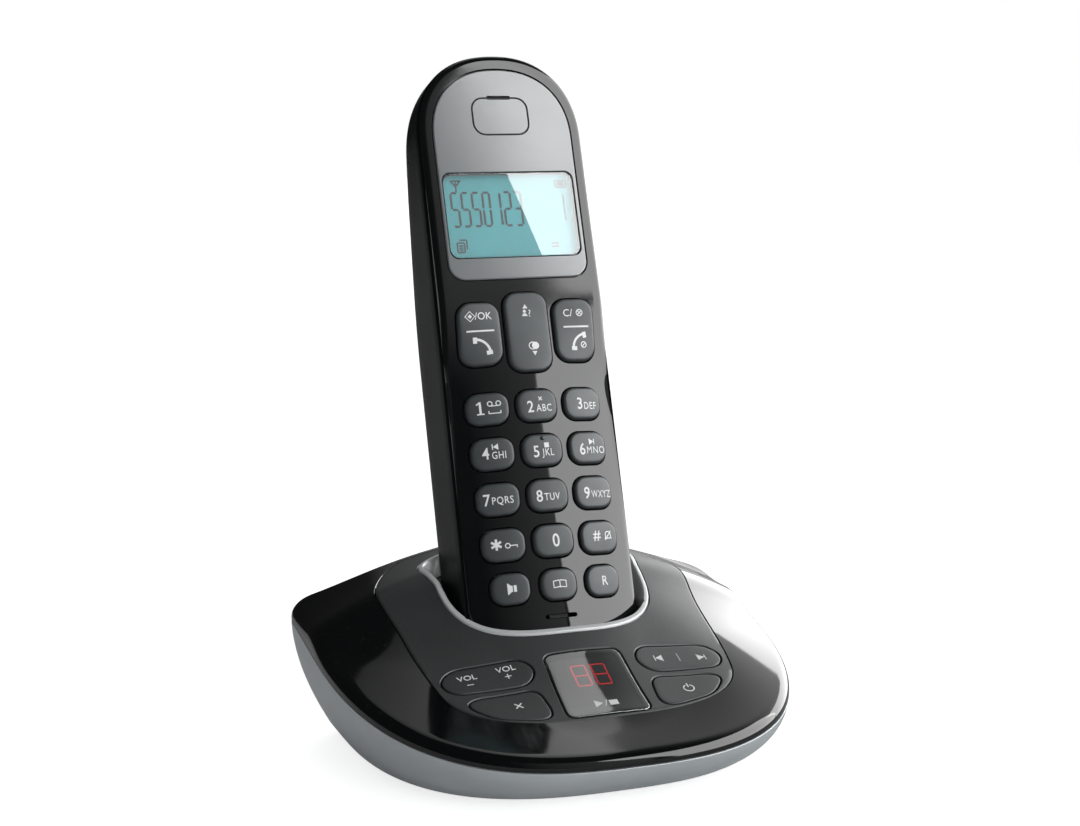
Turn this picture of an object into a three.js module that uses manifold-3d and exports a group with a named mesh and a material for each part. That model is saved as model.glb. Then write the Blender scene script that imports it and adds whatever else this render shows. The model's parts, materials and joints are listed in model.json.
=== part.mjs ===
// A cordless telephone handset standing in the cradle of its answering machine base.
// Lengths are in millimetres. +Z is up, the front faces -Y and x = 0 is the middle plane.
import * as THREE from 'three';
import { mergeVertices } from 'three/addons/utils/BufferGeometryUtils.js';
import Module from 'manifold-3d';

const wasm = await Module();
wasm.setup();

// Clearances and overruns shared by all pieces
const gap = 0.3;                  // between two pieces that touch
const keyGap = 0.35;              // between a key and the edge of its hole
const overrun = 2;                // how far a cutter runs past what it cuts

// Base outline, seen from above
const baseHalfWidth = 61;
const baseFrontDepth = 73.9;      // from the widest line to the front
const baseBackDepth = 24.1;       // from the widest line to the back
const baseWidestY = 2.5;          // how far the widest line lies behind the middle of the cradle
const baseSquareness = 2.73;      // exponent of the front curve
const baseBackCorner = 7.2;

// Seam between case and cover, rising to the back
const seamFrontHeight = 12.1;
const seamBackRise = 21.7;
const seamSag = 2.7;

// Lower case
const caseSideInset = 9.5;
const caseFrontInset = 13.6;
const caseBulge = 1.82;           // exponent of the bowed side
const caseWall = 2;
const caseFloor = 2.4;
const footProud = 1.2;

// Cover surface
const panelTilt = THREE.MathUtils.degToRad(28.2);
const panelTopY = -34.1;          // upper edge of the display key
const panelTopZ = 30.4;
const crestHeight = 48.6;
const crestFallShare = 0.07;
const crestBlend = 3;
const crownDrop = 7.7;            // at the side edge of the control panel
const bandHeight = 3;             // upright edge of the cover above the seam
const skirtSlopeShare = 0.27;
const skirtSideSlopeShare = 0.1;
const skirtFadeY = 20;
const skirtFadeLength = 30;
const skirtFadeLowShare = -0.15;
const skirtBlend = 2.5;
const coverWall = 2.6;

// Control panel inlay
const panelHalfWidth = 41.3;
const panelFrontY = -55.6;
const panelBackY = 23.6;
const panelThick = 1.1;
const keyWindowMargin = 0.9;      // round each key, in the cover under the panel

// Cradle ring and well
const ringHalfWidth = 28.6;
const ringFrontDepth = 23.8;
const ringBackDepth = 22;
const ringMiddleY = -4;
const ringFrontSquareness = 2.6;
const ringBackSquareness = 3.2;
const ringSpreadShare = 0.18;
const ringLip = 1.3;
const ringFunnel = 3.6;
const ringProud = 0.3;
const ringDepth = 5;
const wellClearance = 1.2;
const wellWall = 1.8;
const wellFloorGap = 1;
const wellCollar = 3;
const wellCollarDepth = 7;

// Keys of the base
const displayKeyTopHalf = 10.1;
const displayKeyBottomHalf = 11;
const displayKeyLength = 20.4;    // seen from above
const baseKeyThick = 3.6;
const baseKeyTravel = 0.8;
const baseKeyCorner = 3.2;
const displayKeyCorner = 2.2;

// Electronics of the base
const boardThick = 1.2;
const baseBoardHalfWidth = 33;
const baseBoardTopSetback = 1.5;
const standoffRadius = 2.2;
const standoffX = 27;
const standoffFrontY = -46;
const standoffBackY = -34;
const matThick = 1;
const matPostHalf = 2;
const segmentBlockHalfWidth = 8.5;
const segmentBlockHalfLength = 7;
const speakerRadius = 11.5;
const speakerDepth = 7.5;
const speakerX = -38.5;
const speakerY = -5;
const grilleSlotWidth = 1.6;
const grilleSlotPitch = 4;
const grilleSlotHalf = 5.5;
const socketWidth = 13;
const socketHeight = 11;
const socketDepth = 11.5;
const socketMouthWidth = 9.7;
const socketMouthHeight = 6.7;
const socketMouthDepth = 10;
const socketX = 13;
const socketZ = 14;
const socketFaceY = 20.8;

// Feet and screws
const footRadius = 5;
const footHeight = 1.7;
const footPocket = 0.8;
const footFrontX = 30;
const footBackX = 36;
const footFrontY = -42;
const footBackY = 8;
const screwRadius = 1.3;
const screwHeadRadius = 2.6;
const screwHeadHeight = 1.3;
const screwLength = 9;
const screwHeadRecess = 1.8;
const bossRadius = 3.3;
const bossFootHeight = 1;         // of the case's own boss above its floor
const bossRoof = 1;               // cover left above a boss's pilot hole
const bossFrontX = 43;
const bossFrontY = -30;
const bossBackX = 46;
const bossBackY = 13;

// Handset, in its own frame: z runs up its length, y = 0 is its front face, +y points to its back
const handsetLean = THREE.MathUtils.degToRad(20);
const handsetHeight = 94.6;       // where the leaning front face crosses the middle of the cradle
const handsetTop = 89.4;
const handsetBottom = -76;
const handsetHalfWidth = 22.7;
const handsetFlare = 0.5;         // extra half width at the bottom
const handsetRearExtra = 0.5;     // how far the rear cover stands out at each side
const archHeight = 23.4;
const archSquareness = 2.25;
const bottomCorner = 9;
const frontCrownDrop = 4.3;       // of the key area, at the side edges
const crownStart = 24;
const crownEnd = -4;
const seamDepthLow = 6.2;
const seamDepthHigh = 1.5;
const handsetSeamBlend = 2;
const seamRunShare = 0.17;        // of the handset's length, from the top, before the seam deepens
const frontEdgeRound = 1.6;
const frontEdgeInShare = 0.3;     // of that rounding, how far the face's edge is drawn in
const frontEdgeDropShare = 0.6;   // and how far it drops
const rearRoundWidthShare = 0.9;  // largest rear rounding, of the half width
const rearRoundDepthShare = 0.6;  // and of the rear cover's depth
const handsetWall = 1.8;
const rearRound = 6;
const rearTopDepth = 12;
const rearBottomDepth = 30;
const rearKneeZ = 19;
const rearKneeDepth = 27;
const rearHighMargin = 29.4;      // between that height and the handset's top
const rearHighDepth = 20.5;

// Faceplate, window and earpiece
const faceplateHalfWidth = 19.5;
const faceplateTopMargin = 4.1;   // between its top and the handset's
const faceplateBottom = 27.3;
const faceplateCorner = 4.5;
const faceplateThick = 1.2;
const faceplateFloor = 1;
const windowHalfWidth = 18.3;
const windowHeight = 23.1;
const windowMiddleShare = 0.304;  // of the faceplate's length, from its lower edge
const windowCorner = 2.4;
const windowThick = 1;
const windowSink = 0.25;
const lcdMargin = 1.2;
const lcdLedge = 0.8;
const earpieceShare = 0.774;      // of the faceplate's length, from its lower edge
const earpieceRadius = 7;
const earpieceThick = 3.4;
const earSlotHalfWidth = 3.3;
const earSlotHeight = 1.1;
const earSlotRise = 5.2;

// Handset keys
const keyColumnPitch = 13.2;
const keyRowPitch = 11.9;
const firstKeyRow = -7.1;
const keyHalfWidth = 5.5;
const keyHalfHeight = 4.2;
const keyCorner = 3.3;
const lastKeyRow = -54.2;
const lastKeyPitch = 12.7;
const lastKeyHalfWidth = 4.9;
const lastKeyHalfHeight = 4.05;
const tallKeyZ = 12.66;
const tallKeyHalfWidth = 5.75;
const tallKeyHalfHeight = 8.35;
const rockerHalfWidth = 6.05;
const rockerHalfHeight = 10.65;
const tallKeyCorner = 3.8;
const keyProud = 1.5;
const keyDepth = 5.2;             // how far a key reaches behind the front face plane
const keyTravel = 0.8;
const keyChamfer = 0.5;

// Inside the handset
const keypadMatThick = 1.2;
const keypadMatHalfWidth = 19.6;
const keypadMatTop = 23.6;
const keypadMatBottom = -59.2;
const handsetBoardHalfWidth = 19.6;
const handsetBoardTopMargin = 26.4;  // between its top and the handset's
const handsetBoardBottom = -69;
const micZ = -62.2;
const micRadius = 2.6;
const micHoleHalfWidth = 4.3;
const micHoleHalfHeight = 0.45;
const batteryRadius = 5.2;
const batteryLength = 44.5;
const batteryPitch = 11.2;
const bayHalfWidth = 12;
const bayBottom = -32;
const bayWall = 1;
const terminalThick = 0.6;
const terminalHalf = 4;
const doorHalfWidth = 15.5;
const doorMargin = 3.5;           // how far the door reaches past the battery bay at each end
const doorThick = 1.6;
const contactHalfWidth = 3;
const contactHalfDepth = 2.4;
const contactThick = 0.8;
const contactX = 9;
const contactMiddleY = 14;
const chargePinHalfWidth = 1.8;
const chargePinHalfDepth = 1.8;
const chargePinDrop = 1.5;        // below the well's floor

// Facet counts
const outlineSteps = 16;
const caseSteps = 4;
const ringSteps = 16;
const panelSteps = 18;
const bottomSteps = 3;
const lengthSteps = 8;
const archSteps = 7;
const faceSteps = 8;              // across the handset's crowned face
const cornerSteps = 4;            // round a quarter turn
const terrainColumns = 16;
const terrainRows = 14;
const roundSides = 14;

// Outline corners of the left-hand keys. Across: shares of the panel's half width.
// Down: shares of the display key's length, from its upper edge.
const rockerKeyShares = [
  [0.835, -0.076], [0.925, 0.114], [0.86, 0.348], [0.402, 0.367], [0.322, 0.176], [0.387, -0.033],
];
const lowerKeyShares = [
  [0.366, 0.462], [0.763, 0.476], [0.828, 0.576], [0.702, 0.852], [0.412, 0.971], [0.339, 0.886],
];
// Half outline of the control panel from front to back. Across: shares of its half width.
// Along: shares of its length.
const panelOutlineShares = [
  [0, 0], [0.25, 0.004], [0.5, 0.018], [0.69, 0.045], [0.83, 0.09], [0.915, 0.15], [0.955, 0.24],
  [0.985, 0.38], [1.005, 0.54], [1.04, 0.68], [1.02, 0.76], [0.94, 0.855], [0.85, 0.925], [0.73, 0.985],
];

// Materials
const material = (color, roughness, metalness = 0) =>
  new THREE.MeshStandardMaterial({ color, roughness, metalness });
const finishes = {
  silverCase: material(0x8d9498, 0.42, 0.2),
  glossBlack: material(0x111314, 0.08),
  satinBlack: material(0x1c1f20, 0.35),
  panelBlack: material(0x2c2e30, 0.55),
  brightSilver: material(0xc9cccd, 0.22, 0.9),
  faceSilver: material(0xaeb2b5, 0.4, 0.35),
  keyGrey: material(0x45484b, 0.6),
  smokedLens: material(0x5b5f60, 0.06),
  redSegment: material(0x3a0b0d, 0.3),
  clearWindow: material(0xdfeff0, 0.03),
  lcdTeal: material(0x5fb0b4, 0.3),
  rubber: material(0x2a2a2a, 0.85),
  circuitGreen: material(0x1f5a35, 0.5),
  contactMetal: material(0xd2b46a, 0.25, 1),
  steel: material(0x9a9ea1, 0.35, 0.9),
  darkPart: material(0x232527, 0.6),
  cellGreen: material(0x3f7d52, 0.4),
};

// Solid helpers

// A closed geometry as a solid for joining and cutting.
function solid(geometry) {
  const plain = geometry.index ? geometry.toNonIndexed() : geometry.clone();
  plain.deleteAttribute('normal');
  plain.deleteAttribute('uv');
  const merged = mergeVertices(plain);
  return new wasm.Manifold(new wasm.Mesh({
    numProp: 3,
    vertProperties: new Float32Array(merged.attributes.position.array),
    triVerts: new Uint32Array(merged.index.array),
  }));
}

// A solid as a geometry again.
function geometryOf(body) {
  const mesh = body.getMesh();
  const geometry = new THREE.BufferGeometry();
  const places = new Float32Array(mesh.numVert * 3);
  for (let i = 0; i < mesh.numVert; i += 1) {
    for (let axis = 0; axis < 3; axis += 1) {
      places[3 * i + axis] = mesh.vertProperties[mesh.numProp * i + axis];
    }
  }
  geometry.setAttribute('position', new THREE.BufferAttribute(places, 3));
  geometry.setIndex(new THREE.BufferAttribute(new Uint32Array(mesh.triVerts), 1));
  geometry.computeVertexNormals();
  return geometry;
}

// Moves every vertex of a geometry by place(x, y, z), which returns [x, y, z].
function reshape(geometry, place) {
  const position = geometry.attributes.position;
  for (let i = 0; i < position.count; i += 1) {
    position.setXYZ(i, ...place(position.getX(i), position.getY(i), position.getZ(i)));
  }
  return geometry;
}

function shapeOf(points) {
  return new THREE.Shape(points.map(([x, y]) => new THREE.Vector2(x, y)));
}

// An outline raised in steps. place(x, y, t) gives the place of an outline point at share t of the rise.
function raised(points, steps, place) {
  const geometry = new THREE.ExtrudeGeometry(shapeOf(points), { depth: 1, steps, bevelEnabled: false });
  return solid(reshape(geometry, place));
}

// An upright prism between two heights.
function prism(points, low, high) {
  return raised(points, 1, (x, y, t) => [x, y, low + (high - low) * t]);
}

// A body between two height functions over a rectangle that is middled on x = 0.
function terrain(halfWidth, front, back, low, high) {
  const geometry = new THREE.BoxGeometry(1, 1, 1, terrainColumns, terrainRows, 1);
  return solid(reshape(geometry, (u, v, w) => {
    const x = u * 2 * halfWidth;
    const y = front + (v + 0.5) * (back - front);
    return [x, y, w > 0 ? high(x, y) : low(x, y)];
  }));
}

function block(low, high) {
  const geometry = new THREE.BoxGeometry(high[0] - low[0], high[1] - low[1], high[2] - low[2]);
  geometry.translate((low[0] + high[0]) / 2, (low[1] + high[1]) / 2, (low[2] + high[2]) / 2);
  return solid(geometry);
}

// An upright cylinder.
function rod(radius, low, high, x = 0, y = 0) {
  const geometry = new THREE.CylinderGeometry(radius, radius, high - low, roundSides);
  geometry.rotateX(Math.PI / 2);
  geometry.translate(x, y, (low + high) / 2);
  return solid(geometry);
}

// A cylinder along y.
function rodAlongY(radius, low, high, x, z) {
  const geometry = new THREE.CylinderGeometry(radius, radius, high - low, roundSides);
  geometry.translate(x, (low + high) / 2, z);
  return solid(geometry);
}

// Outline helpers. An outline is a list of [x, y] that runs counterclockwise.

// The outline moved outwards by a distance, or inwards by a negative one.
function grow(points, distance) {
  return points.map(([x, y], i) => {
    const before = points[(i + points.length - 1) % points.length];
    const after = points[(i + 1) % points.length];
    const first = new THREE.Vector2(y - before[1], before[0] - x).normalize();
    const second = new THREE.Vector2(after[1] - y, x - after[0]).normalize();
    const outward = first.clone().add(second).normalize();
    const stretch = distance / Math.max(outward.dot(first), 0.5);
    return [x + outward.x * stretch, y + outward.y * stretch];
  });
}

// A polygon with rounded corners.
function rounded(corners, radius, steps = 3) {
  const path = new THREE.Path();
  const count = corners.length;
  const toward = (from, to) => {
    const start = new THREE.Vector2(...from);
    const way = new THREE.Vector2(...to).sub(start);
    const reach = Math.min(radius, way.length() / 2.2);
    return start.add(way.setLength(reach));
  };
  corners.forEach((corner, i) => {
    const enter = toward(corner, corners[(i + count - 1) % count]);
    const leave = toward(corner, corners[(i + 1) % count]);
    if (i === 0) path.moveTo(enter.x, enter.y);
    else path.lineTo(enter.x, enter.y);
    path.quadraticCurveTo(corner[0], corner[1], leave.x, leave.y);
  });
  const points = path.getPoints(steps).map((point) => [point.x, point.y]);
  return THREE.ShapeUtils.area(points.map(([x, y]) => ({ x, y }))) < 0 ? points.reverse() : points;
}

function rectangle(halfWidth, low, high, radius, middle = 0) {
  const left = middle - halfWidth;
  const right = middle + halfWidth;
  return rounded([[left, low], [right, low], [right, high], [left, high]], radius);
}

// A half outline for x >= 0, from front to back, closed by its mirror image.
function mirrored(half) {
  const left = half.filter(([x]) => x > 0).map(([x, y]) => [-x, y]).reverse();
  return [...half, ...left];
}

function flipped(points) {
  return points.map(([x, y]) => [-x, y]).reverse();
}

function clampShare(value, low = 0, high = 1) {
  return Math.min(Math.max(value, low), high);
}

function smoothMin(a, b, reach) {
  const h = clampShare(0.5 + (0.5 * (b - a)) / reach);
  return b * (1 - h) + a * h - reach * h * (1 - h);
}

function smoothMax(a, b, reach) {
  return -smoothMin(-a, -b, reach);
}

// Base surfaces

const baseFrontY = baseWidestY - baseFrontDepth;
const baseBackY = baseWidestY + baseBackDepth;
const baseDepth = baseFrontDepth + baseBackDepth;
const panelSlope = Math.tan(panelTilt);

function seamHeight(y) {
  const share = (y - baseFrontY) / baseDepth;
  return seamFrontHeight + seamBackRise * share - seamSag * share * share;
}

// 0 at the middle of the base and 1 on its outline.
function outlineLevel(x, y) {
  const forward = Math.max(baseWidestY - y, 0) / baseFrontDepth;
  const across = Math.abs(x) / baseHalfWidth;
  return (across ** baseSquareness + forward ** baseSquareness) ** (1 / baseSquareness);
}

// The gentle slope that rises from the cover's edge.
function skirtHeight(x, y) {
  const level = Math.max(outlineLevel(x, y), Number.EPSILON);
  const edgeX = x / level;
  const edgeY = y < baseWidestY ? baseWidestY + (y - baseWidestY) / level : y;
  const reach = Math.hypot(edgeX, Math.min(edgeY - baseWidestY, 0));
  const fade = clampShare((skirtFadeY - y) / skirtFadeLength, skirtFadeLowShare);
  const slope = skirtSlopeShare + skirtSideSlopeShare * fade * (edgeX / baseHalfWidth) ** 2;
  return seamHeight(edgeY) + bandHeight + slope * (1 - level) * reach;
}

// Height of the cover's outer surface.
function coverHeight(x, y) {
  const plane = panelTopZ + panelSlope * (y - panelTopY);
  const crest = smoothMin(plane, crestHeight - crestFallShare * y, crestBlend);
  const mound = crest - crownDrop * (x / panelHalfWidth) ** 2;
  return smoothMax(mound, skirtHeight(x, y), skirtBlend);
}

function baseOutline(inset = 0) {
  const halfWidth = baseHalfWidth - inset;
  const front = baseFrontDepth - inset;
  const back = baseBackY - inset;
  const corner = baseBackCorner - inset / 2;
  const half = [];
  for (let i = 0; i <= outlineSteps; i += 1) {
    const angle = (Math.PI / 2) * (1 - i / outlineSteps);
    const across = Math.cos(angle) ** (2 / baseSquareness);
    const along = Math.sin(angle) ** (2 / baseSquareness);
    half.push([i === 0 ? 0 : halfWidth * across, baseWidestY - front * along]);
  }
  for (let i = 0; i <= cornerSteps; i += 1) {
    const angle = (Math.PI / 2) * (i / cornerSteps);
    half.push([halfWidth - corner + corner * Math.cos(angle), back - corner + corner * Math.sin(angle)]);
  }
  return mirrored(half);
}

// Draws an outline point of the base in towards the bottom, as the bowed side of the case does.
function caseSide(x, y, z) {
  const rise = clampShare((z - footProud) / (seamHeight(y) - footProud));
  const pull = (1 - rise) ** caseBulge;
  const across = (x * (baseHalfWidth - caseSideInset * pull)) / baseHalfWidth;
  const along = y < baseWidestY
    ? baseWidestY + ((y - baseWidestY) * (baseFrontDepth - caseFrontInset * pull)) / baseFrontDepth
    : y - (caseSideInset * pull * (y - baseWidestY)) / baseBackDepth;
  return [across, along, z];
}

function ringOutline(inset = 0) {
  const half = [];
  for (let i = 0; i <= ringSteps; i += 1) {
    const angle = Math.PI * (i / ringSteps - 0.5);
    const inFront = angle < 0;
    const square = inFront ? ringFrontSquareness : ringBackSquareness;
    const reach = inFront ? ringFrontDepth - inset : ringBackDepth - inset;
    const along = Math.sign(angle) * reach * Math.abs(Math.sin(angle)) ** (2 / square);
    const spread = inFront ? 0 : ringSpreadShare * along;
    const across = i === 0 || i === ringSteps ? 0 : Math.cos(angle) ** (2 / square);
    half.push([(ringHalfWidth - inset + spread) * across, ringMiddleY + along]);
  }
  return mirrored(half);
}

function panelOutline() {
  const length = panelBackY - panelFrontY;
  const places = panelOutlineShares.map(([across, along]) =>
    new THREE.Vector2(across * panelHalfWidth, panelFrontY + along * length));
  const curve = new THREE.SplineCurve(places);
  const half = curve.getPoints(panelSteps).map((point) => [Math.max(point.x, 0), point.y]);
  return mirrored(half);
}

const keyRowY = (share) => panelTopY - share * displayKeyLength;
const keyCorners = (shares) => shares.map(([across, down]) => [-across * panelHalfWidth, keyRowY(down)]);
const baseKeyOutlines = {
  volume_key: rounded(keyCorners(rockerKeyShares), baseKeyCorner),
  skip_key: flipped(rounded(keyCorners(rockerKeyShares), baseKeyCorner)),
  delete_key: rounded(keyCorners(lowerKeyShares), baseKeyCorner),
  power_key: flipped(rounded(keyCorners(lowerKeyShares), baseKeyCorner)),
  play_key: rounded([
    [-displayKeyBottomHalf, keyRowY(1)], [displayKeyBottomHalf, keyRowY(1)],
    [displayKeyTopHalf, panelTopY], [-displayKeyTopHalf, panelTopY],
  ], displayKeyCorner),
};

// Depths square to the panel's plane, for the sheet of rubber and the board under the keys
function keyUnderside(x) {
  const crown = crownDrop * (x / panelHalfWidth) ** 2 * Math.cos(panelTilt);
  return -crown - baseKeyThick - baseKeyTravel - gap;
}
const widestKeyShare = Math.max(...rockerKeyShares.map(([across]) => across));
const keyMatTop = keyUnderside(widestKeyShare * panelHalfWidth);
const keyMatBottom = keyMatTop - matThick;
const baseBoardTop = keyMatBottom - gap;

const low = () => -overrun;
const high = () => crestHeight + overrun;
// Everything between two depths below the cover's surface.
function layer(top, bottom) {
  return terrain(baseHalfWidth + overrun, baseFrontY - overrun, baseBackY + overrun,
    (x, y) => coverHeight(x, y) - bottom, (x, y) => coverHeight(x, y) - top);
}
function below(depth) {
  return terrain(baseHalfWidth + overrun, baseFrontY - overrun, baseBackY + overrun,
    low, (x, y) => coverHeight(x, y) - depth);
}
function above(height) {
  return terrain(baseHalfWidth + overrun, baseFrontY - overrun, baseBackY + overrun, height, high);
}
const through = (points) => prism(points, -overrun, crestHeight + overrun);

const screwPlaces = [
  [-bossFrontX, bossFrontY], [bossFrontX, bossFrontY], [-bossBackX, bossBackY], [bossBackX, bossBackY],
];
const footPlaces = [
  [-footFrontX, footFrontY], [footFrontX, footFrontY], [-footBackX, footBackY], [footBackX, footBackY],
];
const caseFloorTop = footProud + caseFloor;

// Handset surfaces

const archStart = handsetTop - archHeight;
const faceplateTop = handsetTop - faceplateTopMargin;
const windowMiddle = THREE.MathUtils.lerp(faceplateBottom, faceplateTop, windowMiddleShare);
const windowTop = windowMiddle + windowHeight / 2;
const windowBottom = windowMiddle - windowHeight / 2;
const earpieceZ = THREE.MathUtils.lerp(faceplateBottom, faceplateTop, earpieceShare);

function handsetOutlineHalf(z, inset = 0) {
  const top = handsetTop - inset;
  const bottom = handsetBottom + inset;
  const flare = (handsetFlare * (archStart - z)) / (archStart - handsetBottom);
  const halfWidth = handsetHalfWidth - inset + Math.max(flare, 0);
  if (z > archStart) {
    const share = clampShare((z - archStart) / (top - archStart));
    return halfWidth * (1 - share ** archSquareness) ** (1 / archSquareness);
  }
  const corner = bottomCorner - inset / 2;
  const short = Math.max(corner - (z - bottom), 0);
  return halfWidth - (corner - Math.sqrt(Math.max(corner * corner - short * short, 0)));
}

function frontDepthAt(x, z) {
  const crown = THREE.MathUtils.smoothstep(-z, -crownStart, -crownEnd);
  return frontCrownDrop * crown * (x / handsetHalfWidth) ** 2;
}

function handsetSeamDepth(z) {
  const share = (handsetTop - z) / (handsetTop - handsetBottom);
  const run = (share - seamRunShare) / (1 - seamRunShare);
  const straight = seamDepthHigh + (seamDepthLow - seamDepthHigh) * run;
  return smoothMax(straight, seamDepthHigh, handsetSeamBlend);
}

const rearProfile = [
  [handsetBottom, rearBottomDepth], [rearKneeZ, rearKneeDepth], [handsetTop - rearHighMargin, rearHighDepth],
  [handsetTop, rearTopDepth],
];
function rearDepth(z) {
  const i = rearProfile.findIndex(([level]) => z <= level);
  if (i < 1) return rearProfile[i < 0 ? rearProfile.length - 1 : 0][1];
  const [z0, y0] = rearProfile[i - 1];
  const [z1, y1] = rearProfile[i];
  return y0 + ((y1 - y0) * (z - z0)) / (z1 - z0);
}

// Heights of the handset's sections, closest together at its round ends.
function sectionHeights(inset) {
  const quarter = Math.PI / 2;
  const bottom = handsetBottom + inset;
  const top = handsetTop - inset;
  const cornerTop = handsetBottom + bottomCorner;
  const heights = [];
  for (let i = 0; i < bottomSteps; i += 1) {
    heights.push(THREE.MathUtils.lerp(bottom, cornerTop, 1 - Math.cos(quarter * (i / bottomSteps))));
  }
  for (let i = 0; i < lengthSteps; i += 1) {
    heights.push(THREE.MathUtils.lerp(cornerTop, archStart, i / lengthSteps));
  }
  for (let i = 0; i <= archSteps; i += 1) {
    heights.push(THREE.MathUtils.lerp(archStart, top, Math.sin(quarter * (i / archSteps))));
  }
  return heights;
}

// Stacks a section along the handset. profile(z) gives the section's outline points [x, y].
function stacked(heights, profile) {
  const sections = heights.map((z) => profile(z));
  const count = sections[0].length;
  const steps = heights.length - 1;
  const wheel = sections[0].map((_, i) => {
    const angle = (2 * Math.PI * i) / count;
    return [Math.cos(angle), Math.sin(angle)];
  });
  const geometry = new THREE.ExtrudeGeometry(shapeOf(wheel), { depth: steps, steps, bevelEnabled: false });
  return solid(reshape(geometry, (x, y, t) => {
    const level = Math.round(t);
    const turn = (Math.atan2(y, x) / (2 * Math.PI) + 1) % 1;
    const point = sections[level][Math.round(turn * count) % count];
    return [point[0], point[1], heights[level]];
  }));
}

// The front cover's body, from its face to the seam. The outline runs counterclockwise from above.
function frontBody(inset, seamShift) {
  return stacked(sectionHeights(inset), (z) => {
    const half = Math.max(handsetOutlineHalf(z, inset), gap);
    const back = handsetSeamDepth(z) + seamShift;
    const round = Math.min(frontEdgeRound, half / 2);
    const face = [];
    for (let i = 0; i <= faceSteps; i += 1) {
      const x = (half - round * frontEdgeInShare) * ((2 * i) / faceSteps - 1);
      const edge = Math.max(Math.abs(x) - (half - round), 0) / round;
      const ease = round * frontEdgeDropShare * edge * edge;
      face.push([x, Math.min(frontDepthAt(x, z) + inset + ease, back - gap)]);
    }
    return [[half, back], [-half, back], ...face];
  });
}

// The rear cover's body, from the seam to its back.
function rearBody(inset, seamShift) {
  return stacked(sectionHeights(inset), (z) => {
    const half = Math.max(handsetOutlineHalf(z, inset) + handsetRearExtra, gap);
    const fromEnd = Math.min(z - handsetBottom - inset, handsetTop - inset - z);
    const endShort = Math.max(rearRound - fromEnd, 0);
    const endDrop = rearRound - Math.sqrt(Math.max(rearRound ** 2 - endShort ** 2, 0));
    const back = rearDepth(z) - inset - endDrop;
    const front = handsetSeamDepth(z) + seamShift;
    const round = Math.min(
      rearRound - inset / 2, half * rearRoundWidthShare, (back - front) * rearRoundDepthShare);
    const points = [[-half, front], [half, front]];
    for (let i = 0; i <= cornerSteps; i += 1) {
      const angle = (Math.PI / 2) * (i / cornerSteps);
      points.push([half - round + round * Math.cos(angle), back - round + round * Math.sin(angle)]);
    }
    for (let i = cornerSteps; i >= 0; i -= 1) {
      const angle = (Math.PI / 2) * (i / cornerSteps);
      points.push([-half + round - round * Math.cos(angle), back - round + round * Math.sin(angle)]);
    }
    return points;
  });
}

// An outline in the handset's x-z plane, from a deep y to a shallow one nearer its face.
function slab(points, deep, shallow) {
  return raised(points, 1, (x, z, t) => [x, deep + (shallow - deep) * t, z]);
}

// A point of the handset's frame in the machine's frame.
function leaned(x, y, z) {
  const cos = Math.cos(handsetLean);
  const sin = Math.sin(handsetLean);
  return [x, y * cos + z * sin, handsetHeight + z * cos - y * sin];
}

// Section of the well's hollow: the handset's own section at its foot, with a clearance all round.
function handsetSection(clearance) {
  const half = handsetHalfWidth + handsetFlare + handsetRearExtra + clearance;
  const back = rearBottomDepth + clearance;
  const points = [];
  for (let i = 0; i <= faceSteps / 2; i += 1) {
    const x = (half * 2 * i) / faceSteps;
    points.push([x, frontCrownDrop * (x / half) ** 2 - clearance]);
  }
  for (let i = 0; i <= cornerSteps; i += 1) {
    const angle = (Math.PI / 2) * (i / cornerSteps);
    points.push([half - rearRound * (1 - Math.cos(angle)), back - rearRound * (1 - Math.sin(angle))]);
  }
  return mirrored(points);
}

function leaningPrism(section, bottom, top) {
  return raised(section, 1, (x, y, t) => leaned(x, y, bottom + (top - bottom) * t));
}

// Assembly

const machine = new THREE.Group();
const handset = new THREE.Group();
handset.position.z = handsetHeight;
handset.rotation.x = -handsetLean;
machine.add(handset);
const keyDeck = new THREE.Group();
keyDeck.position.set(0, panelTopY, panelTopZ);
keyDeck.rotation.x = panelTilt;
machine.add(keyDeck);

function addPiece(parent, name, body, finish) {
  const mesh = new THREE.Mesh(geometryOf(body), finish);
  mesh.name = name;
  parent.add(mesh);
}

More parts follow.
